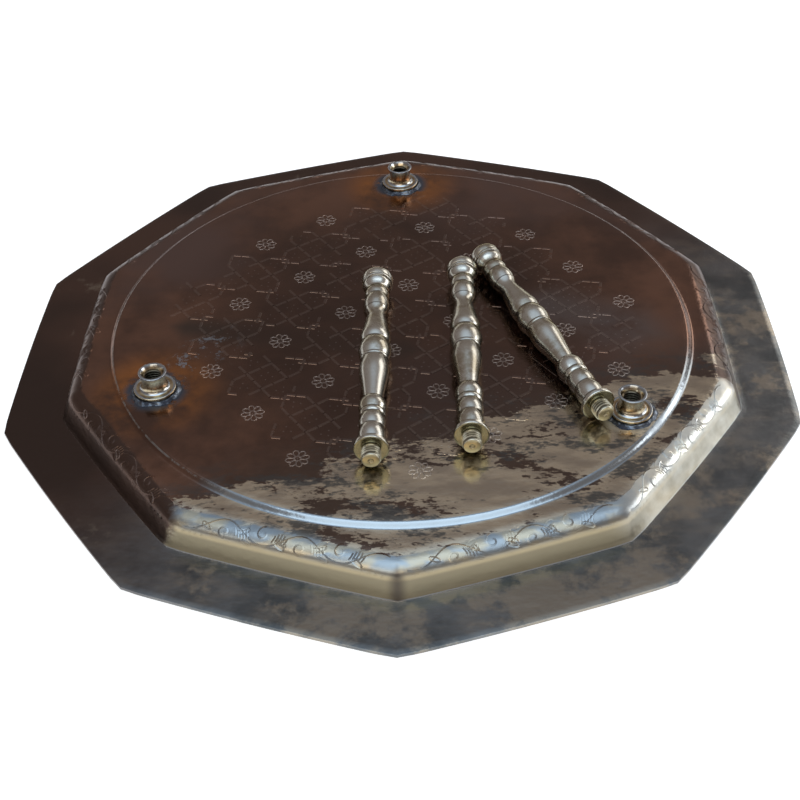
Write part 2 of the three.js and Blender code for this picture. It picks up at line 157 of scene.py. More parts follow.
# %% [markdown]
# Polished metal shows its surroundings more than its own colour. The world is dim and warm
# at the horizon and pale overhead, as in a room with a skylight, and four soft boxes give
# the bright streaks: a wide cool one overhead, two at the right and a warm one behind the
# camera. None of them stands where the flat disc would mirror it to the camera.

# %% Light
SKY_LOW = 0.15, colour(0.2, 0.165, 0.15)
SKY_MIDDLE = 0.72, colour(0.3, 0.27, 0.26)
SKY_TOP = 0.95, colour(0.62, 0.72, 0.85)
SOFT_BOXES = {
    "overhead": {"place": (0.1, -0.9, 1.8), "size": (2.4, 1.5), "watts": 17,
                 "tint": (0.74, 0.88, 1.0)},
    "right": {"place": (1.35, 1.35, 0.95), "size": (1.1, 0.8), "watts": 5,
              "tint": (1.0, 0.98, 0.94)},
    "side": {"place": (1.9, 0.35, 0.62), "size": (1.1, 0.7), "watts": 9,
             "tint": (0.96, 0.98, 1.0)},
    "front": {"place": (-0.4, -1.7, 1.15), "size": (2.2, 0.5), "watts": 8,
              "tint": (1.0, 0.9, 0.74)},
}


def make_world():
    world = bpy.data.worlds.new("room")
    bpy.context.scene.world = world
    world.use_nodes = True
    tree = world.node_tree
    tree.nodes.clear()
    place = add_node(tree, "TexCoord")
    parts = add_node(tree, "SeparateXYZ", {0: place.outputs["Generated"]})
    ramp = add_node(tree, "ValToRGB", {0: parts.outputs["Z"]})
    steps = ramp.color_ramp.elements
    steps[0].position, steps[0].color = SKY_LOW
    steps[1].position, steps[1].color = SKY_TOP
    steps.new(SKY_MIDDLE[0]).color = SKY_MIDDLE[1]
    background = add_node(tree, "Background", {"Color": ramp.outputs[0], "Strength": 1.0})
    add_node(tree, "OutputWorld", {"Surface": background.outputs[0]})


def make_soft_box(name, place, size, watts, tint):
    data = bpy.data.lights.new(name, "AREA")
    data.shape = "RECTANGLE"
    data.size, data.size_y = size
    data.energy = watts
    data.color = tint
    lamp = bpy.data.objects.new(name, data)
    bpy.context.scene.collection.objects.link(lamp)
    turn = (-Vector(place)).to_track_quat("-Z", "Y")
    lamp.matrix_world = Matrix.Translation(place) @ turn.to_matrix().to_4x4()


make_world()
for box_name, box in SOFT_BOXES.items():
    make_soft_box(box_name, **box)
bpy.context.scene.view_settings.view_transform = "Standard"
print("soft boxes:", ", ".join(SOFT_BOXES))

# %% [markdown]
# Every turned or raised form here starts as a profile: a list of (radius, height) points.
# The spin operator sweeps it round the Z axis. One helper does that for the sheet, the
# sockets and the legs, and another turns each finished bmesh into a piece of the part.

# %% Shapes from profiles
def spun(profile, steps, closed):
    """A bmesh swept round Z from a profile. A closed profile is a loop, as for a ring."""
    shape = bmesh.new()
    line = [shape.verts.new((radius, 0, height)) for radius, height in profile]
    pairs = list(zip(line, line[1:]))
    if closed:
        pairs.append((line[-1], line[0]))
    edges = [shape.edges.new(pair) for pair in pairs]
    bmesh.ops.spin(shape, geom=line + edges, cent=(0, 0, 0), axis=(0, 0, 1),
                   angle=2 * math.pi, steps=steps, use_merge=True)
    bmesh.ops.remove_doubles(shape, verts=shape.verts, dist=1e-7)
    bmesh.ops.recalc_face_normals(shape, faces=shape.faces)
    return shape


print("a profile is spun in as many steps as its piece needs")

# %% Finished pieces
SHARP_ANGLE = math.radians(38)


def finished(name, shape, body, node, material):
    """Turns a bmesh into a piece that stands for its measured node and rides a body."""
    bmesh.ops.recalc_face_normals(shape, faces=shape.faces)
    mesh = bpy.data.meshes.new(name)
    shape.to_mesh(mesh)
    shape.free()
    mesh.shade_smooth()
    mesh.set_sharp_from_angle(angle=SHARP_ANGLE)
    piece = bpy.data.objects.new(name, mesh)
    bpy.context.scene.collection.objects.link(piece)
    mesh.materials.append(material)
    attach(piece, body)
    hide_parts(node)
    mesh.calc_loop_triangles()
    print(name, len(mesh.loop_triangles), "triangles")


print("edges sharper than", round(math.degrees(SHARP_ANGLE)), "degrees stay crisp")

# %% [markdown]
# The tray is one sheet of brass, raised over a stake: a flat ten-sided rim, a wall, a
# rounded shoulder, a flat ring, a round step and a flat disc. It is round at the step and
# ten-sided at the rim, so it is spun as a round form first, and each corner then moves in
# or out to the radius that the outline has in its direction.

# %% Sheet sizes
DISC_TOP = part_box("leg_socket_far")[0].z
RIM_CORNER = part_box("tray_sheet")[1].y
TRAY_SIDES = 10
SIDE_BOW = 1.17 * MM
SHEET_THICKNESS = 2 * MM
RIM_WIDTH = 30.8 * MM
WALL_RUN = 4.2 * MM
SHOULDER_RUN = 12.5 * MM
SHOULDER_RISE = 8.2 * MM
RING_WIDTH = 4.1 * MM
STEP_RUN = 4 * MM
STEP_RISE = 2.2 * MM
SHOULDER_START = math.radians(14)
CORNER_RECESS = 0.6 * MM
CORNER_REACH = math.radians(1.5)
HALF_SIDE = math.pi / TRAY_SIDES
CREASE_CORNER = RIM_CORNER - RIM_WIDTH
SHOULDER_CORNER = CREASE_CORNER - WALL_RUN
RING_CORNER = SHOULDER_CORNER - SHOULDER_RUN
STEP_FOOT = RING_CORNER * math.cos(HALF_SIDE) - RING_WIDTH
DISC_RADIUS = STEP_FOOT - STEP_RUN
RING_TOP = DISC_TOP - STEP_RISE
WALL_TOP = RING_TOP - SHOULDER_RISE


def side_angle(angle):
    """The angle from the middle of the side that lies in this direction."""
    return (angle - math.pi / 2) % (2 * HALF_SIDE) - HALF_SIDE


def outline_radius(radius, angle):
    """Where the round form's radius lands once the tray is ten-sided outside its ring."""
    from_middle = side_angle(angle)
    bow = SIDE_BOW * (radius / RIM_CORNER) * (1 - (from_middle / HALF_SIDE) ** 2)
    recess = CORNER_RECESS * math.exp(-((HALF_SIDE - abs(from_middle)) / CORNER_REACH) ** 2)
    ten_sided = radius * math.cos(HALF_SIDE) / math.cos(from_middle) + bow - recess
    share = (radius - STEP_FOOT) / (RING_CORNER - STEP_FOOT)
    share = min(max(share, 0), 1)
    return radius + (ten_sided - radius) * share


def shoulder_point(turn):
    """A point of the shoulder: turn 0 is where the wall meets it, a quarter is the ring."""
    return (SHOULDER_CORNER - SHOULDER_RUN * (1 - math.cos(turn)),
            RING_TOP - SHOULDER_RISE * (1 - math.sin(turn)))


print("disc", round(2 * DISC_RADIUS / MM), "mm across")

# %% [markdown]
# The sheet is beaten by hand, so the disc isn't quite flat. Dents of a few hundredths of a
# millimetre on a slow sway of a quarter of one are enough, because a mirror shows every
# slope twice over. They come from a smooth noise over the plan, and the chasing rides them.

# %% Planishing
DENT_DEPTH = 0.035 * MM
DENT_SIZE = 17 * MM
SWAY_DEPTH = 0.25 * MM
SWAY_SIZE = 110 * MM


def dent(x, y):
    fine = noise.noise(Vector((x, y, 0)) / DENT_SIZE)
    broad = noise.noise(Vector((x, y, 0)) / SWAY_SIZE + Vector((3, 7, 0)))
    return DENT_DEPTH * fine + SWAY_DEPTH * broad


print("dents of", DENT_DEPTH / MM, "mm every", DENT_SIZE / MM, "mm")

# %% Sheet profile
RIM_STEPS = 9
WALL_STEPS = 5
SHOULDER_STEPS = 14
RING_STEPS = 3
STEP_STEPS = 10
DISC_STEPS = 44
CREASE_ROUND = 0.5 * MM
EDGE_ROUND = 0.45 * MM


def underside_profile():
    """From just inside the rim's edge, over the wall, shoulder, ring and step, to the axis."""
    start = RIM_CORNER - EDGE_ROUND
    end = CREASE_CORNER + CREASE_ROUND
    points = [(start + (end - start) * i / RIM_STEPS, SHEET_THICKNESS)
              for i in range(RIM_STEPS + 1)]
    crease = Vector((CREASE_CORNER, SHEET_THICKNESS))
    wall_end = Vector(shoulder_point(SHOULDER_START))
    foot = crease + (wall_end - crease).normalized() * CREASE_ROUND
    points.append((CREASE_CORNER + 0.2 * CREASE_ROUND, SHEET_THICKNESS + 0.15 * CREASE_ROUND))
    points += [tuple(foot.lerp(wall_end, i / WALL_STEPS)) for i in range(WALL_STEPS)]
    for i in range(SHOULDER_STEPS + 1):
        share = i / SHOULDER_STEPS
        points.append(shoulder_point(SHOULDER_START + (math.pi / 2 - SHOULDER_START) * share))
    points += [(RING_CORNER + (STEP_FOOT - RING_CORNER) * i / RING_STEPS, RING_TOP)
               for i in range(1, RING_STEPS)]
    for i in range(STEP_STEPS + 1):
        share = i / STEP_STEPS
        rise = STEP_RISE * (1 - math.cos(math.pi * share)) / 2
        points.append((STEP_FOOT - STEP_RUN * share, RING_TOP + rise))
    points += [(DISC_RADIUS * (1 - i / DISC_STEPS), DISC_TOP) for i in range(1, DISC_STEPS)]
    return points + [(0, DISC_TOP)]


def serving_profile(underside):
    """The same line one sheet thickness lower, thinned to every second point."""
    points = []
    for i, (radius, height) in enumerate(underside):
        before = Vector(underside[max(i - 1, 0)])
        after = Vector(underside[min(i + 1, len(underside) - 1)])
        along = (after - before).normalized()
        points.append((radius + along.y * -SHEET_THICKNESS, height + along.x * SHEET_THICKNESS))
    kept = points[:1] + points[1:-1:2] + [(0, DISC_TOP - SHEET_THICKNESS)]
    return [(max(radius, 0), max(height, 0)) for radius, height in kept]


underside = underside_profile()
print(len(underside), "points from the rim to the middle")

# %% Sheet
SHEET_SEGMENTS = 360
CHASED = "chased"


def mark_chased(shape, value):
    """Keeps, at each corner of a shape, whether it belongs to the chasing."""
    layer = shape.verts.layers.float.new(CHASED)
    for vert in shape.verts:
        vert[layer] = value


def radius_on_plan(point):
    return math.hypot(point.x, point.y)


def calm(radius):
    """Dents fade out where the disc meets its step."""
    return min(1.0, max(0.0, (STEP_FOOT - radius) / (2 * STEP_RUN)))


def sheet_shape():
    serving = serving_profile(underside)
    edge = [(RIM_CORNER - EDGE_ROUND, 0.0),
            (RIM_CORNER - 0.3 * EDGE_ROUND, 0.3 * EDGE_ROUND),
            (RIM_CORNER, EDGE_ROUND),
            (RIM_CORNER, SHEET_THICKNESS - EDGE_ROUND),
            (RIM_CORNER - 0.3 * EDGE_ROUND, SHEET_THICKNESS - 0.3 * EDGE_ROUND)]
    profile = list(reversed(serving))[:-1] + edge + underside
    shape = spun(profile, SHEET_SEGMENTS, closed=False)
    for vert in shape.verts:
        radius = radius_on_plan(vert.co)
        if radius > 0:
            vert.co.xy *= outline_radius(radius, math.atan2(vert.co.y, vert.co.x)) / radius
        radius = radius_on_plan(vert.co)
        if radius < STEP_FOOT:
            vert.co.z += dent(vert.co.x, vert.co.y) * calm(radius)
    mark_chased(shape, 0.0)
    return shape


sheet = sheet_shape()
print("sheet", len(sheet.faces), "faces")

# %% [markdown]
# The pattern was chased from the serving side, so it stands proud on this side: eight-petal
# rosettes on a square lattice, and between them pairs of long hexagons that cross like
# woven straps. The lattice is turned by 36 degrees against the tray's corners. Each line is
# a short path, and a round bevel on a curve makes the raised ridge of them all at once.

# %% Strokes on the disc
LATTICE_TURN = math.radians(36)
LATTICE_STEP = 43 * MM
ROSETTE_START = Vector((-106, -105)) * MM
ROSETTES_EACH_WAY = 6
NEVER_STRUCK = [(0, 4), (1, 5), (4, 5), (5, 4)]
PATTERN_RADIUS = 132 * MM
SOCKET_CLEARANCE = 15 * MM
HEXAGON = [(7.6, 16.1), (0, 23.7), (-7.6, 16.1), (-7.6, -16.1), (0, -23.7), (7.6, -16.1)]
STRAP_CROSSING = 7.6
STRAP_BREAK = 0.75
DOTS_IN_SQUARE = [(2.1, 2.1), (-2.1, 2.1), (-2.1, -2.1), (2.1, -2.1)]
DOTS_IN_LOBE = [(-2.3, 13.2), (2.3, 13.2), (0, 16.3)]
PETALS = 8
PETAL_INNER = 1.4
PETAL_OUTER = 6.0
PETAL_HALF_WIDTH = 1.75
PETAL_TAPER = 0.45
PETAL_STEPS = 8


def on_disc(u, v):
    """A point of the turned lattice, on the disc."""
    return Vector((u * math.cos(LATTICE_TURN) - v * math.sin(LATTICE_TURN),
                   u * math.sin(LATTICE_TURN) + v * math.cos(LATTICE_TURN)))


def petal_paths(centre):
    paths = []
    for petal in range(PETALS):
        turn = 2 * math.pi * (petal + 0.5) / PETALS
        path = []
        for i in range(PETAL_STEPS + 1):
            round_it = 2 * math.pi * i / PETAL_STEPS
            along = PETAL_INNER + (PETAL_OUTER - PETAL_INNER) * (1 - math.cos(round_it)) / 2
            taper = 1 - PETAL_TAPER + PETAL_TAPER * along / PETAL_OUTER
            aside = PETAL_HALF_WIDTH * math.sin(round_it) * taper
            spot = Vector((along, aside)) * MM
            spot.rotate(Matrix.Rotation(turn, 2))
            path.append(centre + spot)
        paths.append(path)
    return paths


def strap_paths(centre, upright):
    """One long hexagon, with its long sides broken where it passes under its partner."""
    paths = []
    corners = HEXAGON + HEXAGON[:1]
    for (ax, ay), (bx, by) in zip(corners, corners[1:]):
        pieces = [((ax, ay), (bx, by))]
        if ax == bx:
            under = STRAP_CROSSING if (ax > 0) == upright else -STRAP_CROSSING
            way = 1 if by > ay else -1
            pieces = [((ax, ay), (ax, under - way * STRAP_BREAK)),
                      ((ax, under + way * STRAP_BREAK), (bx, by))]
        for ends in pieces:
            spots = [Vector(end if upright else (end[1], end[0])) * MM for end in ends]
            paths.append([centre + spot for spot in spots])
    return paths


def lattice_centres(offset, count, left_out=()):
    start = ROSETTE_START + Vector((offset, offset))
    return [start + Vector((column, row)) * LATTICE_STEP
            for column in range(count) for row in range(count)
            if (column, row) not in left_out]


def disc_strokes():
    """Paths and dots of the whole pattern, in lattice coordinates."""
    paths, dots = [], []
    for centre in lattice_centres(0, ROSETTES_EACH_WAY, NEVER_STRUCK):
        paths += petal_paths(centre)
        dots.append(centre)
    for centre in lattice_centres(LATTICE_STEP / 2, ROSETTES_EACH_WAY - 1):
        paths += strap_paths(centre, True) + strap_paths(centre, False)
        dots += [centre + Vector(dot) * MM for dot in DOTS_IN_SQUARE]
        for quarter in range(4):
            turn = Matrix.Rotation(math.pi / 2 * quarter, 2)
            dots += [centre + turn @ Vector(dot) * MM for dot in DOTS_IN_LOBE]
    return paths, dots


disc_paths, disc_dots = disc_strokes()
print(len(disc_paths), "lines and", len(disc_dots), "dots before trimming")

# %% Ridges
PETAL_RIDGE = {"radius": 0.5 * MM, "height": 0.3 * MM, "sunk": 0.14 * MM}
STRAP_RIDGE = {"radius": 1.4 * MM, "height": 1.05 * MM, "sunk": 0.75 * MM}
DOT_RIDGE = {"radius": 0.75 * MM, "height": 0.5 * MM, "sunk": 0.3 * MM}
DASH_LENGTH = 7.0
DASH_GAP = 0.7
WORN_SHARE = 0.16
worn = random.Random(11)


def dashes(path):
    """A straight line of the pattern as the strokes of the tool that are still to be seen."""
    start, end = path
    count = max(1, round((end - start).length / MM / DASH_LENGTH))
    strokes = []
    for i in range(count):
        gap = DASH_GAP * MM / (end - start).length
        ends = [start.lerp(end, i / count + gap / 2), start.lerp(end, (i + 1) / count - gap / 2)]
        if worn.random() > WORN_SHARE:
            strokes.append(ends)
    return strokes


def ridges(name, paths, radius):
    """A mesh of round-bevelled ridges along 3-D paths."""
    data = bpy.data.curves.new(name, "CURVE")
    data.dimensions = "3D"
    data.bevel_depth = radius
    data.bevel_resolution = 1
    data.use_fill_caps = True
    for path in paths:
        spline = data.splines.new("POLY")
        spline.points.add(len(path) - 1)
        for point, place in zip(spline.points, path):
            point.co = (*place, 1)
    holder = bpy.data.objects.new(name, data)
    bpy.context.scene.collection.objects.link(holder)
    bpy.context.view_layer.update()
    depsgraph = bpy.context.evaluated_depsgraph_get()
    mesh = bpy.data.meshes.new_from_object(holder.evaluated_get(depsgraph))
    shape = bmesh.new()
    shape.from_mesh(mesh)
    bpy.data.objects.remove(holder)
    bpy.data.curves.remove(data)
    bpy.data.meshes.remove(mesh)
    return shape


SOCKET_CENTRES = {}
for socket_place in ("far", "left", "right"):
    low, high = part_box("leg_socket_" + socket_place)
    SOCKET_CENTRES[socket_place] = (low + high).xy / 2


def on_pattern(spot):
    """Whether a spot of the disc is chased: near the middle and clear of the sockets."""
    clear = all((spot - centre).length > SOCKET_CLEARANCE for centre in SOCKET_CENTRES.values())
    return clear and spot.length < PATTERN_RADIUS


def laid_on_disc(shape, ridge, value):
    """Flattens ridges made at height 0 and sinks them, so that low caps stand proud."""
    for vert in shape.verts:
        rise = vert.co.z * ridge["height"] / ridge["radius"] - ridge["sunk"]
        vert.co.z = DISC_TOP + rise + dent(vert.co.x, vert.co.y)
    mark_chased(shape, value)
    return shape


def disc_chasing():
    petals, straps = [], []
    for path in disc_paths:
        spots = [on_disc(*point) for point in path]
        is_strap = len(spots) == 2
        for stroke in dashes(spots) if is_strap else [spots]:
            if all(on_pattern(spot) for spot in stroke):
                flat = [(spot.x, spot.y, 0) for spot in stroke]
                (straps if is_strap else petals).append(flat)
    dots = bmesh.new()
    for dot in disc_dots:
        spot = on_disc(*dot)
        if on_pattern(spot):
            bmesh.ops.create_icosphere(dots, subdivisions=1, radius=DOT_RIDGE["radius"],
                                       matrix=Matrix.Translation((spot.x, spot.y, 0)))
    return [laid_on_disc(ridges("petals", petals, PETAL_RIDGE["radius"]), PETAL_RIDGE, 1.0),
            laid_on_disc(ridges("straps", straps, STRAP_RIDGE["radius"]), STRAP_RIDGE, 0.3),
            laid_on_disc(dots, DOT_RIDGE, 0.3)]


chasing = disc_chasing()
print("chasing on the disc", sum(len(shape.faces) for shape in chasing), "faces")

# %% [markdown]
# The shoulder carries a running leaf scroll: a wave of vine along each of the ten sides, a
# curl in every hollow of the wave, leaves beside it, and a border of short slanting cuts
# along the crease. It is drawn flat, as distance along the side and up the shoulder, and
# then laid on the shoulder.

# %% Leaves and curls
VINE_WAVE = 38.0
VINE_MIDDLE = 8.8
VINE_SWING = 4.3
VINE_STEP = 2.4
CURL_TURNS = 0.95
CURL_RADIUS = 3.6
CURL_CLOSES = 0.8
CURL_STEPS = 14
LEAF_STEPS = 10
FEATHERS = 5
FEATHER_LENGTH = 5.0
FEATHER_SHORTEST = 0.6
FEATHER_SPREAD = 1.5
FEATHER_BOW = 1.3
FEATHER_BEND = 1.6


def vine_height(along):
    return VINE_MIDDLE + VINE_SWING * math.sin(2 * math.pi * along / VINE_WAVE)


def curl_path(along, up, way):
    path = []
    for i in range(CURL_STEPS + 1):
        share = i / CURL_STEPS
        turn = way * (math.pi / 2 + 2 * math.pi * CURL_TURNS * share)
        reach = CURL_RADIUS * (1 - CURL_CLOSES * share)
        path.append((along + reach * math.cos(turn), up + reach * math.sin(turn)))
    return path


def leaf_path(along, up, lean, length, swell):
    path = []
    for i in range(LEAF_STEPS + 1):
        round_it = 2 * math.pi * i / LEAF_STEPS
        reach = length * (1 - math.cos(round_it)) / 2
        aside = swell * math.sin(round_it)
        path.append((along + reach * math.cos(lean) - aside * math.sin(lean),
                     up + reach * math.sin(lean) + aside * math.cos(lean)))
    return path


def feather_paths(along, up, way):
    """A fan of bowed strokes, as the edge of a leaf is cut."""
    paths = []
    for feather in range(FEATHERS):
        start = along + feather * FEATHER_SPREAD
        fan = math.sin(math.pi * (feather + 0.5) / FEATHERS)
        reach = FEATHER_LENGTH * (FEATHER_SHORTEST + (1 - FEATHER_SHORTEST) * fan)
        shares = [i / 3 for i in range(4)]
        paths.append([(start + FEATHER_BOW * math.sin(share * FEATHER_BEND),
                       up + way * reach * share) for share in shares])
    return paths


print("one wave of the vine is", VINE_WAVE, "mm long")

# %% Scroll of one side
HATCH_SPACING = 3.2
HATCH = [(-0.6, 1.1), (0.5, 2.9)]
BORDER_REACH = 15.0
CURL_MARGIN = 5
SIDE_MARGIN = 1.5
CURL_OFF_MIDDLE = 1.6
FEATHERS_FROM_CURL = 4.5, 3.2
LEAVES = [
    {"shift": 6, "rise": 2.2, "facing": 0, "lean": 0.6, "length": 6.5, "swell": 1.3},
    {"shift": -7, "rise": -0.4, "facing": math.pi, "lean": -0.5, "length": 5.5, "swell": 1.1},
    {"shift": 9, "rise": -2.4, "facing": 0, "lean": -0.35, "length": 5.0, "swell": 1.0},
]


def hollow_paths(along, way):
    """What fills one hollow of the vine: a curl, three leaves and a feathered edge."""
    up = VINE_MIDDLE - way * CURL_OFF_MIDDLE
    paths = [curl_path(along, up, -way)]
    for leaf in LEAVES:
        lean = leaf["facing"] + way * leaf["lean"]
        paths.append(leaf_path(along + leaf["shift"], up + way * leaf["rise"], lean,
                               leaf["length"], leaf["swell"]))
    shift, rise = FEATHERS_FROM_CURL
    return paths + feather_paths(along + shift, up + way * rise, -way)


def scroll_paths(half_length):
    """The scroll of one side, as (along, up) paths in millimetres."""
    count = int(half_length * 2 / VINE_STEP)
    vine = [-half_length + 2 * half_length * i / count for i in range(count + 1)]
    paths = [[(along, vine_height(along)) for along in vine]]
    for wave in range(-3, 3):
        for half, way in ((0.25, 1), (0.75, -1)):
            along = (wave + half) * VINE_WAVE
            if abs(along) <= half_length - CURL_MARGIN:
                paths += hollow_paths(along, way)
    cuts = int(half_length / HATCH_SPACING)
    for i in range(-cuts, cuts):
        along = (i + 0.5) * HATCH_SPACING
        if half_length - abs(along) < BORDER_REACH:
            paths.append([(along + shift, up) for shift, up in HATCH])
    return paths


SIDE_HALF_LENGTH = (SHOULDER_CORNER - SHOULDER_RUN) * math.sin(HALF_SIDE) / MM - SIDE_MARGIN
side_scroll = scroll_paths(SIDE_HALF_LENGTH)
print(len(side_scroll), "strokes on each side")

# %% Scroll laid on the shoulder
SHOULDER_ARC = 16.4
SCROLL_RADIUS = 0.85 * MM
SCROLL_SINK = 0.63 * MM


def on_shoulder(side, along, up):
    """A point on the shoulder, sunk a little so that only a low ridge shows."""
    turn = math.pi / 2 * min(max(up / SHOULDER_ARC, 0), 1)
    radius, height = shoulder_point(turn)
    out = Vector((SHOULDER_RISE * math.cos(turn), SHOULDER_RUN * math.sin(turn))).normalized()
    radius -= out.x * SCROLL_SINK
    height -= out.y * SCROLL_SINK
    middle = math.pi / 2 + HALF_SIDE * (2 * side + 1)
    angle = middle + math.atan2(along * MM, radius * math.cos(HALF_SIDE))
    reach = outline_radius(radius, angle)
    return Vector((reach * math.cos(angle), reach * math.sin(angle), height))


def shoulder_chasing():
    paths = [[on_shoulder(side, *point) for point in path]
             for side in range(TRAY_SIDES) for path in side_scroll]
    shape = ridges("shoulder_scroll", paths, SCROLL_RADIUS)
    mark_chased(shape, 0.0)
    return shape


scroll = shoulder_chasing()
print("scroll", len(scroll.faces), "faces")

# %% [markdown]
# The finishes are built next, so that each piece gets its own when it is made. A finish is
# mostly masks: values from 0 to 1 that say where a stain, a rub or a colour lies. A few
# helpers make masks, combine them and lay colours over each other by them.

# %% Masks and layers
def fade(tree, value, low, high):
    """0 below low, 1 above high, and smooth between."""
    inputs = {"Value": value, "From Min": low, "From Max": high}
    return add_node(tree, "MapRange", inputs, interpolation_type="SMOOTHSTEP").outputs[0]


def both_of(tree, first, second):
    return calculate(tree, "MULTIPLY", first, second)


def inverse(tree, mask):
    return calculate(tree, "SUBTRACT", 1.0, mask)


def below(tree, value, low, high):
    """1 below low, 0 above high, and smooth between."""
    return inverse(tree, fade(tree, value, low, high))


def any_of(tree, masks):
    whole = masks[0]
    for mask in masks[1:]:
        whole = calculate(tree, "MAXIMUM", whole, mask)
    return whole


def mixed(tree, share, first, second):
    inputs = {0: share, 6: first, 7: second}
    return add_node(tree, "Mix", inputs, data_type="RGBA").outputs[2]


def between(tree, share, first, second):
    return add_node(tree, "Mix", {0: share, 2: first, 3: second}).outputs[0]


def layered(tree, base, layers):
    """Lays colours over a base, each where its mask is and as thick as its share."""
    for mask, share, over in layers:
        base = mixed(tree, both_of(tree, mask, share), base, over)
    return base


def noise_at(tree, place, scale, detail, roughness=0.5):
    inputs = {"Vector": place, "Scale": scale, "Detail": detail, "Roughness": roughness}
    return add_node(tree, "TexNoise", inputs).outputs["Fac"]


def scaled(tree, place, factors):
    return add_node(tree, "VectorMath", {0: place, 1: factors}, operation="MULTIPLY").outputs[0]


def far_from(tree, place, spot):
    """Distance over the plan from a spot."""
    inputs = {0: scaled(tree, place, (1.0, 1.0, 0.0)), 1: (spot.x, spot.y, 0.0)}
    return add_node(tree, "VectorMath", inputs, operation="DISTANCE").outputs["Value"]


AXIS = Vector((0, 0))
print("the sheet's masks fade round", len(SOCKET_CENTRES), "sockets")

# %% [markdown]
# Two effects serve several finishes, so each is a node group, built once: ragged patches of
# tarnish, and the fine streaks that turning and polishing leave.

# %% Shared finish groups
def new_group(name, inputs, output):
    group = bpy.data.node_groups.new(name, "ShaderNodeTree")
    for socket, value in inputs.items():
        kind = "NodeSocketFloat" if isinstance(value, float) else "NodeSocketVector"
        made = group.interface.new_socket(socket, in_out="INPUT", socket_type=kind)
        if value is not None:
            made.default_value = value
    group.interface.new_socket(output, in_out="OUTPUT", socket_type="NodeSocketFloat")
    return group, group.nodes.new("NodeGroupInput").outputs, group.nodes.new("NodeGroupOutput")


def make_patches_group():
    """Ragged islands: a noise that a second, finer noise frays at its edges."""
    group, given, result = new_group(
        "tarnish_patches", {"Place": None, "Scale": 30.0, "Fray": 0.35, "Level": 0.5,
                            "Softness": 0.03, "Seed": 0.0}, "Mask")
    inputs = {"Vector": given["Place"], "W": given["Seed"], "Scale": given["Scale"],
              "Detail": 4.0, "Roughness": 0.6}
    broad = add_node(group, "TexNoise", inputs, noise_dimensions="4D").outputs["Fac"]
    inputs.update({"Scale": calculate(group, "MULTIPLY", given["Scale"], 7.0),
                   "Detail": 5.0, "Roughness": 0.7})
    finer = add_node(group, "TexNoise", inputs, noise_dimensions="4D").outputs["Fac"]
    offset = calculate(group, "SUBTRACT", finer, 0.5)
    value = calculate(group, "MULTIPLY_ADD", offset, given["Fray"], broad)
    low = calculate(group, "SUBTRACT", given["Level"], given["Softness"])
    high = calculate(group, "ADD", given["Level"], given["Softness"])
    group.links.new(fade(group, value, low, high), result.inputs["Mask"])
    return group


def make_streaks_group():
    """Fine lines across one direction, as a value about one half."""
    group, given, result = new_group(
        "fine_streaks", {"Place": None, "Stretch": (1.0, 1.0, 1.0), "Scale": 400.0}, "Value")
    stretched = scaled(group, given["Place"], given["Stretch"])
    lines = noise_at(group, stretched, given["Scale"], 3.0)
    group.links.new(lines, result.inputs["Value"])
    return group


PATCHES = make_patches_group()
STREAKS = make_streaks_group()
print("patches take", len(PATCHES.nodes), "nodes and streaks", len(STREAKS.nodes))


# %% Using the groups
def patches(tree, place, scale, level, fray=0.35, softness=0.03, seed=0.0):
    given = {"Place": place, "Scale": scale, "Fray": fray, "Level": level,
             "Softness": softness, "Seed": seed}
    return add_node(tree, "Group", given, node_tree=PATCHES).outputs["Mask"]


def streaks(tree, place, stretch, scale):
    given = {"Place": place, "Stretch": stretch, "Scale": scale}
    return add_node(tree, "Group", given, node_tree=STREAKS).outputs["Value"]


def new_metal(name):
    """A material of bare metal and its nodes."""
    material = bpy.data.materials.new(name)
    material.use_nodes = True
    tree = material.node_tree
    tree.nodes["Principled BSDF"].inputs["Metallic"].default_value = 1.0
    return material, tree


def object_place(tree):
    return add_node(tree, "TexCoord").outputs["Object"]


def dress(tree, base, rough, relief, strength, depth):
    """Links a metal's colour, roughness and relief to its shader."""
    shader = tree.nodes["Principled BSDF"]
    bump = add_node(tree, "Bump", {"Height": relief, "Strength": strength, "Distance": depth})
    tree.links.new(base, shader.inputs["Base Color"])
    tree.links.new(rough, shader.inputs["Roughness"])
    tree.links.new(bump.outputs[0], shader.inputs["Normal"])


print("groups:", PATCHES.name, STREAKS.name)

# %% [markdown]
# The sheet is brass under old red-brown tarnish. Towards the front, tan and slate blue are a
# painted reflection of the bright room in the disc and rim, and the wall and the shoulder carry
# painted reflections and highlights on the side towards the camera. All of it reads object
# coordinates, so these colours stay where they are from any side.

# %% Sheet colours
BROWN = colour(0.27, 0.15, 0.105)
DARK_BROWN = colour(0.14, 0.085, 0.066)
PURPLE_BROWN = colour(0.2, 0.135, 0.12)
DARK_MIDDLE = colour(0.08, 0.055, 0.046)
HAZE = colour(0.2, 0.19, 0.195)
HEAT_TINT = colour(0.62, 0.25, 0.07)
SOOT = colour(0.1, 0.085, 0.075)
SMEAR = colour(0.36, 0.4, 0.45)
FLUX = colour(0.09, 0.1, 0.125)
# The next seven colours are a painted reflection of the bright room in the front of the disc and
# rim.
REFLECTION_GROUND = colour(0.12, 0.095, 0.08)
TAN_REFLECTION = colour(0.66, 0.58, 0.45)
DULL_TAN_REFLECTION = colour(0.47, 0.41, 0.33)
RIM_TAN_REFLECTION = colour(0.4, 0.35, 0.28)
GREY_TAN_REFLECTION = colour(0.3, 0.28, 0.25)
SLATE_REFLECTION = colour(0.115, 0.125, 0.13)
PALE_SLATE_REFLECTION = colour(0.21, 0.22, 0.225)
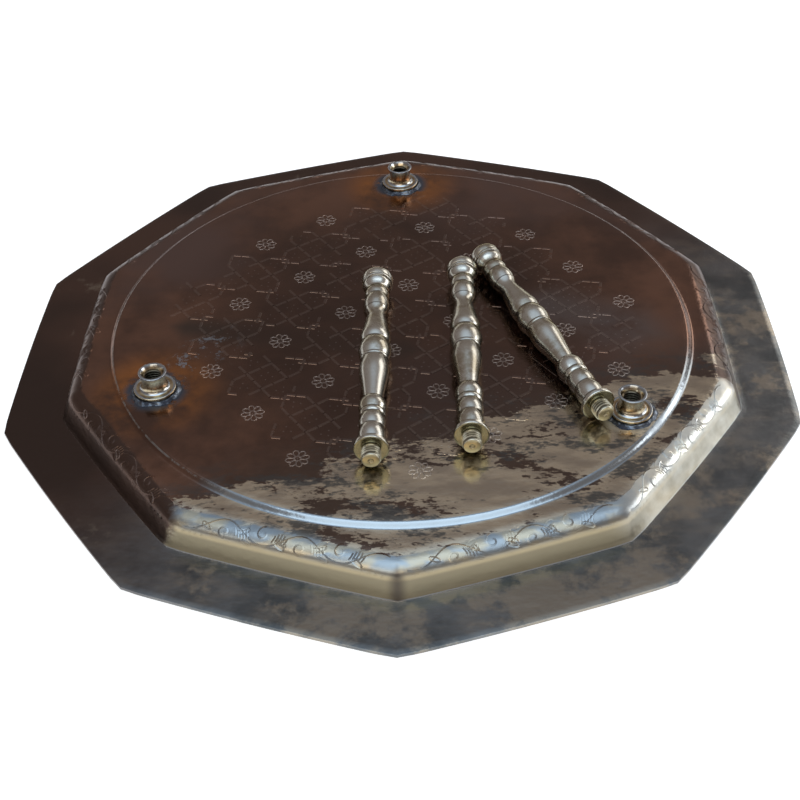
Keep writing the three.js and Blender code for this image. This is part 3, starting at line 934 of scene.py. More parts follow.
# The next eight colours are painted: reflections and highlights on the shoulder, wall and step, a
# line of scuff and highlight on the step's crest, and highlights on the chasing.
SHOULDER_REFLECTION = colour(0.28, 0.32, 0.35)
STEP_HIGHLIGHT = colour(0.35, 0.39, 0.42)
WALL_FOOT_HIGHLIGHT = colour(0.5, 0.54, 0.57)
RIGHT_SIDE_HIGHLIGHT = colour(0.74, 0.73, 0.66)
GOLD_REFLECTION = colour(0.5, 0.42, 0.27)
OLIVE_REFLECTION = colour(0.32, 0.28, 0.19)
SCUFF_AND_HIGHLIGHT = colour(0.28, 0.27, 0.26)
CHASING_HIGHLIGHT = colour(0.5, 0.43, 0.39)
# The lightest colour on the sheet is the painted highlight on the right of the wall and shoulder.
print("the lightest colour on the sheet is its polished side,", RIGHT_SIDE_HIGHLIGHT[:3])

# %% Places on the sheet
DRAWN_OUT = (0.42, 1.0, 1.0)
FRONT_SLOPE = 0.39
FRONT_START = -97 * MM


def sheet_places(tree):
    """The coordinates and the noises by which every stain of the sheet is placed."""
    place = object_place(tree)
    parts = add_node(tree, "SeparateXYZ", {0: place})
    x, y, z = (parts.outputs[axis] for axis in "XYZ")
    front = calculate(tree, "MULTIPLY_ADD", x, FRONT_SLOPE, FRONT_START)
    drawn = scaled(tree, place, DRAWN_OUT)
    return SimpleNamespace(
        tree=tree, place=place, x=x, y=y, z=z, drawn=drawn,
        front=calculate(tree, "MULTIPLY_ADD", y, -1.0, front),
        radius=far_from(tree, place, AXIS),
        bearing=calculate(tree, "ARCTAN2", y, x),
        mottle=noise_at(tree, place, 22.0, 7.0, 0.62),
        clouds=noise_at(tree, place, 7.0, 4.0),
        soft=noise_at(tree, drawn, 130.0, 4.0))


def near_sockets(at, sides, start, end):
    masks = [below(at.tree, far_from(at.tree, at.place, SOCKET_CENTRES[side]), start, end)
             for side in sides]
    return any_of(at.tree, masks)


def near_line(at, start, end, reach):
    """1 on the line between two spots of the tray, given in millimetres, fading out."""
    tree = at.tree
    start, end = Vector(start) * MM, Vector(end) * MM
    along = (end - start).normalized()
    aside = calculate(tree, "MULTIPLY_ADD", at.x, -along.y, start.x * along.y - start.y * along.x)
    aside = calculate(tree, "ABSOLUTE", calculate(tree, "MULTIPLY_ADD", at.y, along.x, aside))
    station = calculate(tree, "MULTIPLY_ADD", at.x, along.x, -start.dot(along))
    station = calculate(tree, "MULTIPLY_ADD", at.y, along.y, station)
    before = calculate(tree, "MAXIMUM", calculate(tree, "MULTIPLY", station, -1.0), 0.0)
    past_end = calculate(tree, "SUBTRACT", station, (end - start).length)
    after = calculate(tree, "MAXIMUM", past_end, 0.0)
    total = calculate(tree, "ADD", calculate(tree, "ADD", aside, before), after)
    return below(tree, total, 0.0, reach * MM)


def turned_from(at, degrees):
    """The angle over the plan from a direction, either way."""
    return calculate(at.tree, "ABSOLUTE",
                     calculate(at.tree, "ADD", at.bearing, -math.radians(degrees)))


print("the tan begins about", round(-FRONT_START / MM), "mm in front of the middle")

# %% [markdown]
# The masks come before the colours, because the roughness needs some of them too. Stains
# lie along lines and round the sockets, forms are told apart by their height, and the step
# by its radius.

# %% Sheet masks
SMEAR_LINE = (-112, -40), (-100, -14), 22
FLUX_REACH = 13.5 * MM, 19.5 * MM
# The side of the wall and shoulder towards the camera carries painted reflections.
REFLECTION_SIDE_TOWARDS = -72
REFLECTION_SIDE_HALF = 55.5
REFLECTION_SIDE_FADE = 2
# Where the painted highlight on the front of the step fades in.
STEP_HIGHLIGHT_FROM = -12 * MM, 14 * MM


def mark_stains(at):
    """Smears and flux, which are colours and roughness both."""
    tree = at.tree
    at.smear = both_of(tree, near_line(at, *SMEAR_LINE),
                       patches(tree, at.place, 90.0, 0.6, fray=0.6, softness=0.05, seed=5.0))
    at.flux = both_of(tree, near_sockets(at, SOCKET_CENTRES, *FLUX_REACH),
                      patches(tree, at.place, 160.0, 0.42, fray=0.6, softness=0.1, seed=1.0))


def mark_forms(at):
    """The rim, the raised wall and shoulder, and the side of them that carries painted reflections.
    """
    tree = at.tree
    at.on_rim = below(tree, at.z, SHEET_THICKNESS + 0.2 * MM, SHEET_THICKNESS + 0.6 * MM)
    ragged = calculate(tree, "MULTIPLY_ADD", at.mottle, 1.6 * MM, at.z)
    at.raised = both_of(tree, below(tree, ragged, RING_TOP + 0.3 * MM, RING_TOP + 0.6 * MM),
                        fade(tree, at.z, SHEET_THICKNESS + 0.1 * MM, SHEET_THICKNESS + 0.4 * MM))
    wobble = calculate(tree, "MULTIPLY_ADD", at.soft, math.radians(5),
                       turned_from(at, REFLECTION_SIDE_TOWARDS))
    facing = below(tree, wobble, math.radians(REFLECTION_SIDE_HALF), math.radians(REFLECTION_SIDE_HALF + REFLECTION_SIDE_FADE))
    # The raised forms on that side take painted reflections, and the rest of them is darker.
    at.rubbed = both_of(tree, at.raised, facing)
    at.unrubbed = both_of(tree, at.raised, inverse(tree, facing))


def mark_step(at):
    """The step: a painted highlight in front, and a broken line of scuff and painted highlight
    round the rest of its crest.
    """
    tree = at.tree
    in_front = fade(tree, at.front, *STEP_HIGHLIGHT_FROM)
    step = both_of(tree, fade(tree, at.radius, DISC_RADIUS, DISC_RADIUS + 0.4 * MM),
                   below(tree, at.radius, STEP_FOOT - 0.5 * MM, STEP_FOOT))
    # A painted highlight on the front of the step.
    at.bright_step = both_of(tree, step, in_front)
    crest = both_of(tree, fade(tree, at.radius, DISC_RADIUS + 0.8 * MM, DISC_RADIUS + 1.3 * MM),
                    below(tree, at.radius, DISC_RADIUS + 1.5 * MM, DISC_RADIUS + 2.1 * MM))
    broken = patches(tree, at.place, 60.0, 0.49, fray=0.9, softness=0.12, seed=7.0)
    # The broken crest line is partly scuff and partly painted highlight.
    at.scuffed = both_of(tree, both_of(tree, crest, broken), inverse(tree, in_front))


# The wall and shoulder carry painted reflections over this many degrees.
print("the wall and shoulder are rubbed bright over", 2 * REFLECTION_SIDE_HALF, "degrees")

# %% [markdown]
# On the disc the stains lie over a mottled brown, and a painted reflection of tan and slate
# islands lies over them all towards the front.

# %% Disc colours
HEATED = "far", "left"
HEAT_REACH = 10 * MM, 42 * MM
SOOT_LINE = (-118, -4), (4, -26), 15
HAZE_LINE = (80, 12), (130, -12), 32
DARK_MIDDLE_REACH = 70 * MM, 148 * MM
FRONT_REACH = -30 * MM, 22 * MM


def brown_disc(at):
    """Mottled brown, with heat tints, soot, smears, flux, a dark middle and a haze."""
    tree = at.tree
    heated = near_sockets(at, HEATED, *HEAT_REACH)
    tint = both_of(tree, heated, fade(tree, at.mottle, 0.3, 0.55))
    soot = both_of(tree, near_line(at, *SOOT_LINE), fade(tree, at.mottle, 0.33, 0.56))
    haze = both_of(tree, near_line(at, *HAZE_LINE), fade(tree, at.mottle, 0.38, 0.6))
    middle = below(tree, at.radius, *DARK_MIDDLE_REACH)
    base = mixed(tree, fade(tree, at.mottle, 0.34, 0.66), DARK_BROWN, BROWN)
    return layered(tree, base, [
        (fade(tree, at.clouds, 0.5, 0.66), 1.0, PURPLE_BROWN), (tint, 0.9, HEAT_TINT),
        (soot, 0.85, SOOT), (at.smear, 1.0, SMEAR), (at.flux, 1.0, FLUX),
        (middle, 0.7, DARK_MIDDLE), (haze, 0.6, HAZE)])


def front_reflection(at, base):
    """Painted reflection of the room: ragged tan and slate islands, closing up towards the front of
    the disc.
    """
    tree = at.tree
    near = fade(tree, at.front, *FRONT_REACH)
    level = calculate(tree, "MULTIPLY_ADD", near, -0.42, 0.84)
    tan = patches(tree, at.drawn, 60.0, level, fray=0.5, softness=0.02, seed=3.0)
    slate = patches(tree, at.drawn, 75.0, 0.57, fray=0.55, softness=0.05, seed=9.0)
    tan_reflection_tone = mixed(tree, fade(tree, at.soft, 0.35, 0.65), DULL_TAN_REFLECTION, TAN_REFLECTION)
    return layered(tree, base, [(near, 0.8, REFLECTION_GROUND), (tan, 1.0, tan_reflection_tone),
                                (both_of(tree, slate, near), 0.85, SLATE_REFLECTION)])


print("heat tints round the sockets:", ", ".join(HEATED))

# %% Rim and wall colours
RIM_REFLECTION_TOWARDS = -50
RIM_REFLECTION_REACH = math.radians(62), math.radians(100)
# Where the painted highlight on the right side of the wall and shoulder begins.
RIGHT_SIDE_HIGHLIGHT_FROM = math.radians(-58), math.radians(-48)


def rim_tarnish_and_reflection(at):
    """Brown tarnish at the back, and in front a painted reflection: slate with tan clouds."""
    tree = at.tree
    in_front = below(tree, turned_from(at, RIM_REFLECTION_TOWARDS), *RIM_REFLECTION_REACH)
    brown = mixed(tree, fade(tree, at.clouds, 0.4, 0.6), DARK_MIDDLE, DARK_BROWN)
    # In front the rim takes a painted reflection: slate greyed with tan, and tan clouds that
    # thicken there.
    slate = mixed(tree, fade(tree, at.mottle, 0.38, 0.62), SLATE_REFLECTION, PALE_SLATE_REFLECTION)
    slate = layered(tree, slate, [(fade(tree, at.soft, 0.45, 0.7), 0.5, GREY_TAN_REFLECTION)])
    level = calculate(tree, "MULTIPLY_ADD", in_front, -0.16, 0.69)
    tan = patches(tree, at.place, 19.0, level, fray=0.42, softness=0.06, seed=12.0)
    return layered(tree, mixed(tree, in_front, brown, slate), [(tan, 0.7, RIM_TAN_REFLECTION)])


def rubbed_metal(at):
    """Painted reflections: silver on the shoulder, gold below it, olive on the wall, and painted
    highlights at its foot and on the right.
    """
    tree = at.tree
    silver = layered(tree, SHOULDER_REFLECTION, [(fade(tree, at.soft, 0.45, 0.62), 0.6, GOLD_REFLECTION)])
    # A painted highlight on the right side of the wall and shoulder, patchy with the soft noise.
    highlight_strength = calculate(tree, "MULTIPLY_ADD", at.soft, 1.3, -0.05)
    right = both_of(tree, fade(tree, at.bearing, *RIGHT_SIDE_HIGHLIGHT_FROM), highlight_strength)
    # By height: painted reflections of gold and olive, and a painted highlight along the wall's
    # foot.
    return layered(tree, silver, [
        (below(tree, at.z, WALL_TOP + 1 * MM, WALL_TOP + 4.5 * MM), 1.0, GOLD_REFLECTION),
        (below(tree, at.z, WALL_TOP - 0.6 * MM, WALL_TOP + 1 * MM), 1.0, OLIVE_REFLECTION),
        (below(tree, at.z, SHEET_THICKNESS + 0.5 * MM, SHEET_THICKNESS + 0.9 * MM), 1.0,
         WALL_FOOT_HIGHLIGHT),
        (right, 1.0, RIGHT_SIDE_HIGHLIGHT)])


print("the rim is slate towards", RIM_REFLECTION_TOWARDS, "degrees")

# %% Sheet finish
CORNER_LINE = (0, -184), (0, -192), 6
HAMMERED = {"strength": 0.1, "depth": 0.6 * MM}


def sheet_colour(at):
    tree = at.tree
    # Painted reflections and highlights lie over the sheet: on the camera side of the raised forms,
    # at the front of the step, along its crest and on the chased lines.
    sheet = mixed(tree, at.on_rim, front_reflection(at, brown_disc(at)), rim_tarnish_and_reflection(at))
    stained_corner = both_of(tree, near_line(at, *CORNER_LINE), at.raised)
    return layered(tree, sheet, [
        (at.unrubbed, 0.8, DARK_MIDDLE), (at.rubbed, 1.0, rubbed_metal(at)),
        (stained_corner, 0.8, SOOT), (at.bright_step, 1.0, STEP_HIGHLIGHT),
        (at.scuffed, 0.8, SCUFF_AND_HIGHLIGHT), (at.chased, 0.42, CHASING_HIGHLIGHT)])


def sheet_roughness(at):
    tree = at.tree
    rough = calculate(tree, "MULTIPLY_ADD", at.mottle, 0.16, 0.1)
    matt = any_of(tree, [at.smear, at.flux, at.scuffed])
    for mask, value in ((at.on_rim, 0.26), (at.chased, 0.34), (at.raised, 0.32), (matt, 0.5)):
        rough = between(tree, mask, rough, value)
    return rough


def make_sheet_material():
    material, tree = new_metal("tarnished_sheet")
    at = sheet_places(tree)
    at.chased = add_node(tree, "Attribute", attribute_name=CHASED).outputs["Fac"]
    mark_stains(at)
    mark_forms(at)
    mark_step(at)
    grain = streaks(tree, at.drawn, (1.0, 1.0, 1.0), 330.0)
    hammered = noise_at(tree, at.place, 210.0, 2.0)
    relief = calculate(tree, "MULTIPLY_ADD", hammered, 2.0, grain)
    dress(tree, sheet_colour(at), sheet_roughness(at), relief, **HAMMERED)
    return material


sheet_material = make_sheet_material()
print("sheet finish", len(sheet_material.node_tree.nodes), "nodes")


# %% Tray
def joined(shapes):
    """One bmesh that holds several, so that they are one piece."""
    whole = bmesh.new()
    for shape in shapes:
        mesh = bpy.data.meshes.new("part")
        shape.to_mesh(mesh)
        whole.from_mesh(mesh)
        bpy.data.meshes.remove(mesh)
        shape.free()
    return whole


finished("tray", joined([sheet, *chasing, scroll]), "tray",
         "tray_sheet", sheet_material)

# %% [markdown]
# The legs were turned on a lathe and plated. One profile, from the domed foot to the flange
# with its hole, makes all three. Each leg's place comes from the measured model: its axis
# runs through the middle of the leg and the middle of its stud.

# %% Profile helpers
def bead(profile, length, neck, crest, steps):
    """Adds a rounded swelling from neck radius to crest and back."""
    start = profile[-1][1]
    for i in range(1, steps + 1):
        swell = math.sin(math.pi * i / steps)
        profile.append((neck + (crest - neck) * swell, start + length * i / steps))


def curve_through(profile, knots, steps):
    """Adds a smooth line through (distance from here, radius) knots."""
    start = profile[-1][1]
    spans = len(knots) - 1
    padded = [knots[0]] + list(knots) + [knots[-1]]
    for i in range(1, steps + 1):
        where = spans * i / steps
        span = min(int(where), spans - 1)
        share = where - span
        points = [Vector(knot) for knot in padded[span:span + 4]]
        a = 2 * points[1]
        b = points[2] - points[0]
        c = 2 * points[0] - 5 * points[1] + 4 * points[2] - points[3]
        d = 3 * points[1] - points[0] - 3 * points[2] + points[3]
        point = (a + b * share + c * share ** 2 + d * share ** 3) / 2
        profile.append((point.y, start + point.x))


def quarter_round(profile, steps, centre, reach, rise):
    """Adds a quarter of an ellipse that starts flat and ends upright."""
    for i in range(1, steps + 1):
        turn = math.pi / 2 * i / steps
        profile.append((centre[0] + reach * math.sin(turn),
                        centre[1] + rise * (1 - math.cos(turn))))


print("a leg's profile is drawn from straight lines, beads, curves and one quarter round")

# %% Forms of a leg
NECK = 6.1
BALL_NECK = 7.2
FACE_RADIUS = 5.5
CAP = {"radius": 8.8, "length": 4.0, "steps": 12}
BUTTON = [(8.78, 4.7), (8.66, 5.6), (8.52, 6.3), (8.3, 6.45), (8.22, 6.6), (8.3, 6.75),
          (8.5, 6.95), (8.6, 7.3), (8.6, 7.9), (8.45, 8.25), (7.9, 8.42), (7.72, 8.6),
          (7.82, 8.8), (7.9, 9.0)]
BELL = {"radius": 7.9, "start": 9.6, "length": 4.4, "steps": 16}
SHORT_RING = {"length": 6.6, "neck": NECK, "crest": 6.8, "steps": 12}
LONG_BEAD = {"length": 10.3, "neck": NECK, "crest": 6.9, "steps": 16}
BALUSTER = [(0, NECK), (5, 4.95), (15.25, 6.525), (25.5, 8.1), (30, BALL_NECK)]
BALL = {"length": 13.5, "neck": BALL_NECK, "crest": 8.7, "steps": 20}
BALL_RING = {"length": 1.9, "neck": BALL_NECK, "crest": 7.6, "steps": 6}
VASE = [(0, BALL_NECK), (8, 7.9), (19.9, 6.35), (31.8, 4.8)]
CUP = {"length": 8.8, "neck": NECK, "crest": 7.25, "steps": 14}
CUP_RING = {"length": 3.5, "neck": NECK, "crest": 6.8, "steps": 8}
FIRST_BEAD = {"length": 8.9, "neck": NECK, "crest": 6.8, "steps": 14}
SECOND_BEAD = {"length": 9.4, "neck": NECK, "crest": 6.85, "steps": 14}
COVE = {"length": 3.1, "steps": 8}
FLANGE = {"radius": 8.8, "length": 2.0}
HOLE = {"radius": 4.5, "depth": 12.3}
print("the ball is the widest bead,", 2 * BALL["crest"], "mm")


# %% Leg profile
def foot_profile():
    """The domed foot, its button and the bell that narrows to the neck."""
    points = [(0.0, 0.0), (2.5, 0.0), (FACE_RADIUS, 0.0)]
    quarter_round(points, CAP["steps"], points[-1], CAP["radius"] - FACE_RADIUS, CAP["length"])
    points += BUTTON
    for i in range(BELL["steps"] + 1):
        share = i / BELL["steps"]
        ogee = (1 + math.cos(math.pi * share)) / 2
        points.append((NECK + (BELL["radius"] - NECK) * ogee,
                       BELL["start"] + BELL["length"] * share))
    return points + [(NECK, points[-1][1] + 1.0)]


def add_shaft(points):
    bead(points, **SHORT_RING)
    bead(points, **LONG_BEAD)
    curve_through(points, BALUSTER, 28)
    bead(points, **BALL)
    bead(points, **BALL_RING)
    curve_through(points, VASE, 30)
    points.append((NECK, points[-1][1] + 0.3))
    for form in (CUP, CUP_RING, FIRST_BEAD, SECOND_BEAD):
        bead(points, **form)


def add_flange(points):
    """The cove, the flange and the blind hole in its face."""
    start = points[-1][1]
    wide = FLANGE["radius"]
    for i in range(1, COVE["steps"] + 1):
        share = i / COVE["steps"]
        hollow = 1 - math.cos(math.pi / 2 * share)
        points.append((NECK + (wide - NECK) * hollow, start + COVE["length"] * share))
    base = points[-1][1]
    face = base + FLANGE["length"]
    points += [(wide, base + 0.25), (wide, base + 1.3), (wide - 0.06, base + 1.6),
               (wide - 0.22, base + 1.85), (wide - 0.5, face), (wide - 1.2, face - 0.02),
               (HOLE["radius"], face - 0.02), (HOLE["radius"], face - HOLE["depth"]),
               (0.0, face - HOLE["depth"])]


def leg_profile():
    points = foot_profile()
    add_shaft(points)
    add_flange(points)
    return [(radius * MM, height * MM) for radius, height in points]


LEG_PROFILE = leg_profile()
LEG_LENGTH = max(height for radius, height in LEG_PROFILE)
print("leg", round(LEG_LENGTH / MM, 2), "mm long")


# %% Places of the legs
def middle_of(node):
    total = Vector()
    for vert in NODES[node].data.vertices:
        total += vert.co
    return total / len(NODES[node].data.vertices)


def lathe_place(side):
    """The matrix that lays a leg, turned along Z, where the measured one lies."""
    leg_middle = middle_of("leg_" + side)
    along = middle_of("leg_stud_" + side) - leg_middle
    along.z = 0
    along.normalize()
    reach = min((vert.co - leg_middle).dot(along) for vert in NODES["leg_" + side].data.vertices)
    foot = leg_middle + along * reach
    return Matrix.Translation(foot) @ along.to_track_quat("Z", "Y").to_matrix().to_4x4()


LEG_PLACES = {side: lathe_place(side) for side in ("left", "middle", "right")}
for side, place in LEG_PLACES.items():
    print(side, [round(value / MM, 2) for value in place.translation])

# %% [markdown]
# Turning marks run round each leg, whichever way it lies. So every turned piece keeps, as a
# mesh attribute, the coordinates that it had on the lathe, and its finish reads those.

# %% Turned pieces
BENCH = "bench"


def keep_bench(shape):
    layer = shape.verts.layers.float_vector.new(BENCH)
    for vert in shape.verts:
        vert[layer] = vert.co


def bench_place(tree):
    return add_node(tree, "Attribute", attribute_name=BENCH).outputs["Vector"]


print("turned pieces keep their lathe coordinates as", BENCH)

# %% Leg finish
LEG_GROOVES = [6.6, 8.6, 15.0, 21.6, 31.9, 61.9, 75.4, 77.3, 109.3, 118.2, 121.7, 130.6, 140.0]
LEG_SILVER = colour(0.6, 0.59, 0.54)
LEG_DULL = colour(0.42, 0.38, 0.3)
FLANGE_BRASS = colour(0.26, 0.24, 0.16)
GROOVE_DARK = colour(0.12, 0.1, 0.08)
EDGE_TINT = colour(0.62, 0.56, 0.42)
ACROSS_THE_LATHE = (0.02, 0.02, 1.0)


def make_leg_material():
    material, tree = new_metal("plated_leg")
    bench = bench_place(tree)
    along = add_node(tree, "SeparateXYZ", {0: bench}).outputs["Z"]
    worn_plate = patches(tree, object_place(tree), 70.0, 0.55, fray=0.5, softness=0.12, seed=4.0)
    grooves = []
    for station in LEG_GROOVES:
        aside = calculate(tree, "ABSOLUTE", calculate(tree, "SUBTRACT", along, station * MM))
        grooves.append(below(tree, aside, 0.1 * MM, 0.45 * MM))
    flange = fade(tree, along, LEG_LENGTH - 0.3 * MM, LEG_LENGTH - 0.05 * MM)
    # The grooves are darker.
    base = layered(tree, LEG_SILVER, [
        (worn_plate, 1.0, LEG_DULL), (any_of(tree, grooves), 0.8, GROOVE_DARK),
        (flange, 1.0, FLANGE_BRASS)])
    lines = streaks(tree, bench, ACROSS_THE_LATHE, 2500.0)
    dress(tree, base, between(tree, lines, 0.2, 0.28), lines, 0.02, 0.2 * MM)
    tree.nodes["Principled BSDF"].inputs["Specular Tint"].default_value = EDGE_TINT
    return material


leg_material = make_leg_material()
print("leg finish with", len(LEG_GROOVES), "dirty grooves")

# %% Legs
LEG_SEGMENTS = 96


def leg_shape(side):
    shape = spun(LEG_PROFILE, LEG_SEGMENTS, closed=False)
    keep_bench(shape)
    shape.transform(LEG_PLACES[side])
    return shape


for side in LEG_PLACES:
    finished("leg_turned_" + side, leg_shape(side), side + "_leg",
             "leg_" + side, leg_material)

# %% [markdown]
# A stud is a plain tenon, a neck, a thread and a smooth tip with a centre hole. The thread
# is one tooth of the profile, spun round the axis while it climbs one pitch a turn.

# %% Stud shape
PITCH = 1.5 * MM
TOOTH = [(0, 0.06), (1, 0.34), (1, 0.44), (0, 0.72)]
TOOTH_WIDTH = 0.7
RUNOUT_TURNS = 0.3
THREAD_CREST = 5.0 * MM
THREAD_ROOT = 4.2 * MM
THREAD_STEPS = 48
NECK_END = LEG_LENGTH + 1.4 * MM
STUD_END = LEG_LENGTH + 7.8 * MM
TIP_START = STUD_END - 1.0 * MM
TENON_RADIUS = 4.2 * MM
TENON_LENGTH = 12 * MM


def thread_ridge(base, crest, low, high):
    """A tooth that climbs one pitch a turn from low to high, sinking away at its two ends."""
    turns = (high - low) / PITCH - TOOTH_WIDTH
    shape = bmesh.new()
    line = [shape.verts.new((base + (crest - base) * depth, 0, low + share * PITCH))
            for depth, share in TOOTH]
    edges = [shape.edges.new(pair) for pair in zip(line, line[1:] + line[:1])]
    section = shape.faces.new(line)
    steps = round(THREAD_STEPS * turns)
    bmesh.ops.spin(shape, geom=line + edges + [section], cent=(0, 0, 0), axis=(0, 0, 1),
                   dvec=(0, 0, turns * PITCH / steps), angle=2 * math.pi * turns,
                   steps=steps, use_merge=False)
    bmesh.ops.remove_doubles(shape, verts=shape.verts, dist=1e-6)
    for vert in shape.verts:
        radius = radius_on_plan(vert.co)
        from_end = min(vert.co.z - low, high - vert.co.z) / PITCH
        share = min(1, max(0.15, from_end / RUNOUT_TURNS - 0.2))
        vert.co.xy *= (base + (radius - base) * share) / radius
    bmesh.ops.recalc_face_normals(shape, faces=shape.faces)
    return shape


def stud_core_shape():
    profile = [(0, LEG_LENGTH - TENON_LENGTH), (TENON_RADIUS, LEG_LENGTH - TENON_LENGTH),
               (TENON_RADIUS, LEG_LENGTH + 0.3 * MM), (4.75 * MM, LEG_LENGTH + 0.3 * MM),
               (4.8 * MM, LEG_LENGTH + 0.4 * MM), (4.8 * MM, NECK_END - 0.1 * MM),
               (4.7 * MM, NECK_END), (THREAD_ROOT, NECK_END + 0.2 * MM),
               (THREAD_ROOT, TIP_START - 0.15 * MM), (4.4 * MM, TIP_START),
               (4.4 * MM, STUD_END - 0.45 * MM), (4.3 * MM, STUD_END - 0.2 * MM),
               (4.0 * MM, STUD_END), (1.5 * MM, STUD_END), (1.1 * MM, STUD_END - 0.35 * MM),
               (0, STUD_END - 0.6 * MM)]
    return spun(profile, THREAD_STEPS, closed=False)


# %% Stud finish
ROOT_GREY = colour(0.17, 0.155, 0.12)
CREST_BRASS = colour(0.52, 0.5, 0.4)
END_BRASS = colour(0.44, 0.37, 0.22)
CENTRE_BRASS = colour(0.33, 0.28, 0.17)


def make_stud_material():
    material, tree = new_metal("stud_brass")
    bench = bench_place(tree)
    along = add_node(tree, "SeparateXYZ", {0: bench}).outputs["Z"]
    radius = far_from(tree, bench, AXIS)
    crest = fade(tree, radius, THREAD_ROOT, THREAD_CREST - 0.2 * MM)
    cut = both_of(tree, fade(tree, along, NECK_END - 0.1 * MM, NECK_END + 0.2 * MM),
                  below(tree, along, TIP_START - 0.3 * MM, TIP_START))
    centre = both_of(tree, below(tree, radius, 1.3 * MM, 1.7 * MM),
                     fade(tree, along, TIP_START, STUD_END - 0.7 * MM))
    base = layered(tree, ROOT_GREY, [
        (any_of(tree, [crest, inverse(tree, cut)]), 1.0, CREST_BRASS),
        (fade(tree, along, STUD_END - 0.1 * MM, STUD_END - 0.02 * MM), 1.0, END_BRASS),
        (centre, 1.0, CENTRE_BRASS)])
    lines = streaks(tree, bench, (1.0, 1.0, 1.0), 900.0)
    dress(tree, base, between(tree, lines, 0.22, 0.42), lines, 0.15, 0.2 * MM)
    return material


stud_material = make_stud_material()
print("stud finish with a thread of", PITCH / MM, "mm pitch")

# %% Studs
for side in LEG_PLACES:
    thread = thread_ridge(THREAD_ROOT - 0.05 * MM, THREAD_CREST, NECK_END - 0.2 * MM,
                          TIP_START + 0.2 * MM)
    stud = joined([stud_core_shape(), thread])
    keep_bench(stud)
    stud.transform(LEG_PLACES[side])
    finished("stud_" + side, stud, side + "_leg", "leg_stud_" + side,
             stud_material)

# %% [markdown]
# Each socket is a turned collar on a foot, with a belled mouth and a threaded bore. The
# solder that holds it is a rough bead, so a plain ring is spun and a noise lumps it.

# %% Socket shape
SOCKET_FLOOR = 2.0
SOCKET_SEGMENTS = 96
BORE = 5.15
FUNNEL_BOTTOM = 10.6
SOCKET_FOOT = [(0, 0), (10.3, 0), (10.3, 1.0), (10.7, 1.1), (10.93, 1.3), (11.0, 1.55),
               (11.0, 2.5), (10.93, 2.75), (10.75, 2.93), (10.5, 3.0), (9.9, 2.98), (9.2, 2.8)]
DISH_END = (8.6, 2.7)
WAIST = (6.2, 7.0)
MOUTH_START = (7.3, 12.5)
MOUTH = [(7.28, 12.62), (7.18, 12.74), (7.0, 12.8), (6.3, 12.8), (6.15, 12.76), (5.75, 12.2)]
WAIST_STEPS = 12
MOUTH_STEPS = 10


def socket_profile():
    """The foot and its dish, the waist, the belled mouth and the bore down to its floor."""
    points = SOCKET_FOOT + [DISH_END]
    for i in range(1, WAIST_STEPS + 1):
        turn = math.pi / 2 * i / WAIST_STEPS
        points.append((DISH_END[0] - (DISH_END[0] - WAIST[0]) * math.sin(turn),
                       WAIST[1] - (WAIST[1] - DISH_END[1]) * math.cos(turn)))
    for i in range(1, MOUTH_STEPS + 1):
        share = i / MOUTH_STEPS
        points.append((WAIST[0] + (MOUTH_START[0] - WAIST[0]) * share ** 2,
                       WAIST[1] + (MOUTH_START[1] - WAIST[1]) * share))
    points += MOUTH + [(BORE, FUNNEL_BOTTOM + 0.5), (BORE - 0.25, FUNNEL_BOTTOM),
                       (BORE, FUNNEL_BOTTOM - 0.4), (BORE, SOCKET_FLOOR), (0, SOCKET_FLOOR)]
    return [(radius * MM, height * MM) for radius, height in points]


def socket_shape(centre):
    tapping = thread_ridge((BORE + 0.05) * MM, 4.4 * MM, (SOCKET_FLOOR + 0.4) * MM,
                           (FUNNEL_BOTTOM + 0.6) * MM)
    shape = joined([spun(socket_profile(), SOCKET_SEGMENTS, closed=False), tapping])
    keep_bench(shape)
    shape.transform(Matrix.Translation((centre.x, centre.y, DISC_TOP)))
    return shape


# %% Socket finish
SOCKET_BRASS = colour(0.58, 0.5, 0.34)
SOCKET_STAIN = colour(0.25, 0.16, 0.08)
SOCKET_HIGHLIGHT = colour(0.42, 0.45, 0.48)
BORE_SHADE = colour(0.06, 0.055, 0.045)


def make_socket_material():
    material, tree = new_metal("socket_brass")
    bench = bench_place(tree)
    height = add_node(tree, "SeparateXYZ", {0: bench}).outputs["Z"]
    runs = scaled(tree, object_place(tree), (1.0, 1.0, 0.3))
    stained = patches(tree, runs, 190.0, 0.5, fray=0.5, softness=0.1, seed=2.0)
    # The lip of the mouth and the top of the foot take a pale, bluish painted highlight.
    lip = fade(tree, height, 11.2 * MM, 12.7 * MM)
    dish = both_of(tree, below(tree, height, 3.2 * MM, 4.6 * MM),
                   fade(tree, height, 2.85 * MM, 2.95 * MM))
    # Painted shade far down the bore.
    shaded_bore = both_of(tree, below(tree, far_from(tree, bench, AXIS), 5.2 * MM, 5.6 * MM),
                   below(tree, height, 9.4 * MM, 11.2 * MM))
    base = layered(tree, SOCKET_BRASS, [
        (stained, 0.8, SOCKET_STAIN), (any_of(tree, [lip, dish]), 1.0, SOCKET_HIGHLIGHT),
        (shaded_bore, 0.85, BORE_SHADE)])
    lines = streaks(tree, bench, (0.05, 0.05, 1.0), 2500.0)
    dress(tree, base, between(tree, lines, 0.14, 0.28), lines, 0.12, 0.2 * MM)
    return material


socket_material = make_socket_material()
print("socket finish", len(socket_material.node_tree.nodes), "nodes")

# %% Solder finish
SOLDER_GREY = colour(0.15, 0.17, 0.2)
DROSS = colour(0.04, 0.045, 0.06)


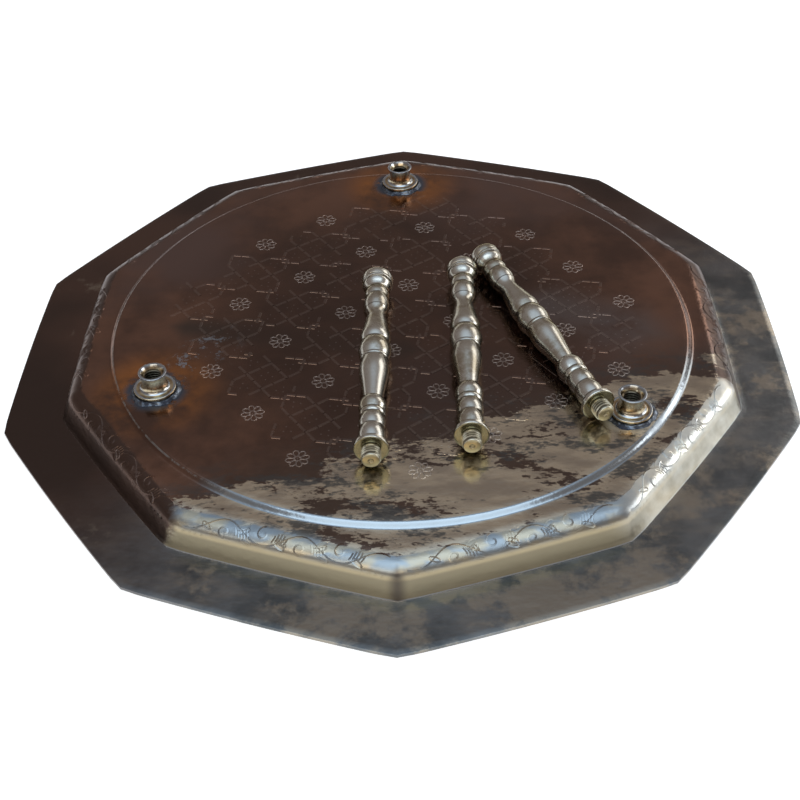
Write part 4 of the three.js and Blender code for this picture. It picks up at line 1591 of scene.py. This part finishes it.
def make_solder_material():
    material, tree = new_metal("solder")
    place = object_place(tree)
    dross = patches(tree, place, 240.0, 0.5, fray=0.6, softness=0.1, seed=6.0)
    lumps = noise_at(tree, place, 900.0, 4.0)
    dress(tree, mixed(tree, dross, SOLDER_GREY, DROSS), between(tree, dross, 0.28, 0.6), lumps,
          0.5, 0.4 * MM)
    return material


solder_material = make_solder_material()
print("solder finish", len(solder_material.node_tree.nodes), "nodes")

# %% Solder shape
SOLDER_INNER = 10.4 * MM
SOLDER_CREST = 11.5 * MM
SOLDER_OUTER = 13.2 * MM
SOLDER_HEIGHT = 1.5 * MM
SOLDER_STEPS = 10
SOLDER_SEGMENTS = 160
LUMP_SIZE = 2.2 * MM
LUMP_RISE = 0.45
LUMP_SPREAD = 0.05
WANDER_SIZE = 9 * MM
WANDER_SPREAD = 0.16


def solder_shape(centre, seed):
    """A ring that crests beside the socket's rim and thins out to a wandering edge."""
    profile = [(SOLDER_INNER, 0), (SOLDER_OUTER, 0)]
    for i in range(SOLDER_STEPS + 1):
        share = i / SOLDER_STEPS
        rise = 0.06 + 0.94 * (1 - math.cos(math.pi * share)) / 2
        profile.append((SOLDER_OUTER + (SOLDER_CREST - SOLDER_OUTER) * share, SOLDER_HEIGHT * rise))
    profile += [(SOLDER_CREST - 0.5 * MM, 1.3 * MM), (SOLDER_INNER, 0.8 * MM)]
    shape = spun(profile, SOLDER_SEGMENTS, closed=True)
    for vert in shape.verts:
        radius = radius_on_plan(vert.co)
        outwards = (radius - SOLDER_INNER) / (SOLDER_OUTER - SOLDER_INNER)
        flat = Vector((vert.co.x, vert.co.y, seed))
        lump = noise.noise(flat / LUMP_SIZE)
        wander = noise.noise(flat / WANDER_SIZE + Vector((0, 0, seed)))
        vert.co.z *= 1 + LUMP_RISE * lump
        vert.co.xy *= 1 + (WANDER_SPREAD * wander + LUMP_SPREAD * lump) * outwards
    shape.transform(Matrix.Translation((centre.x, centre.y, DISC_TOP)))
    return shape


# %% Sockets and solder
for seed, (socket_place, centre) in enumerate(SOCKET_CENTRES.items()):
    finished("socket_" + socket_place, socket_shape(centre), "tray",
             "leg_socket_" + socket_place, socket_material)
    finished("solder_" + socket_place, solder_shape(centre, 10.0 * (seed + 1)), "tray",
             "solder_ring_" + socket_place, solder_material)
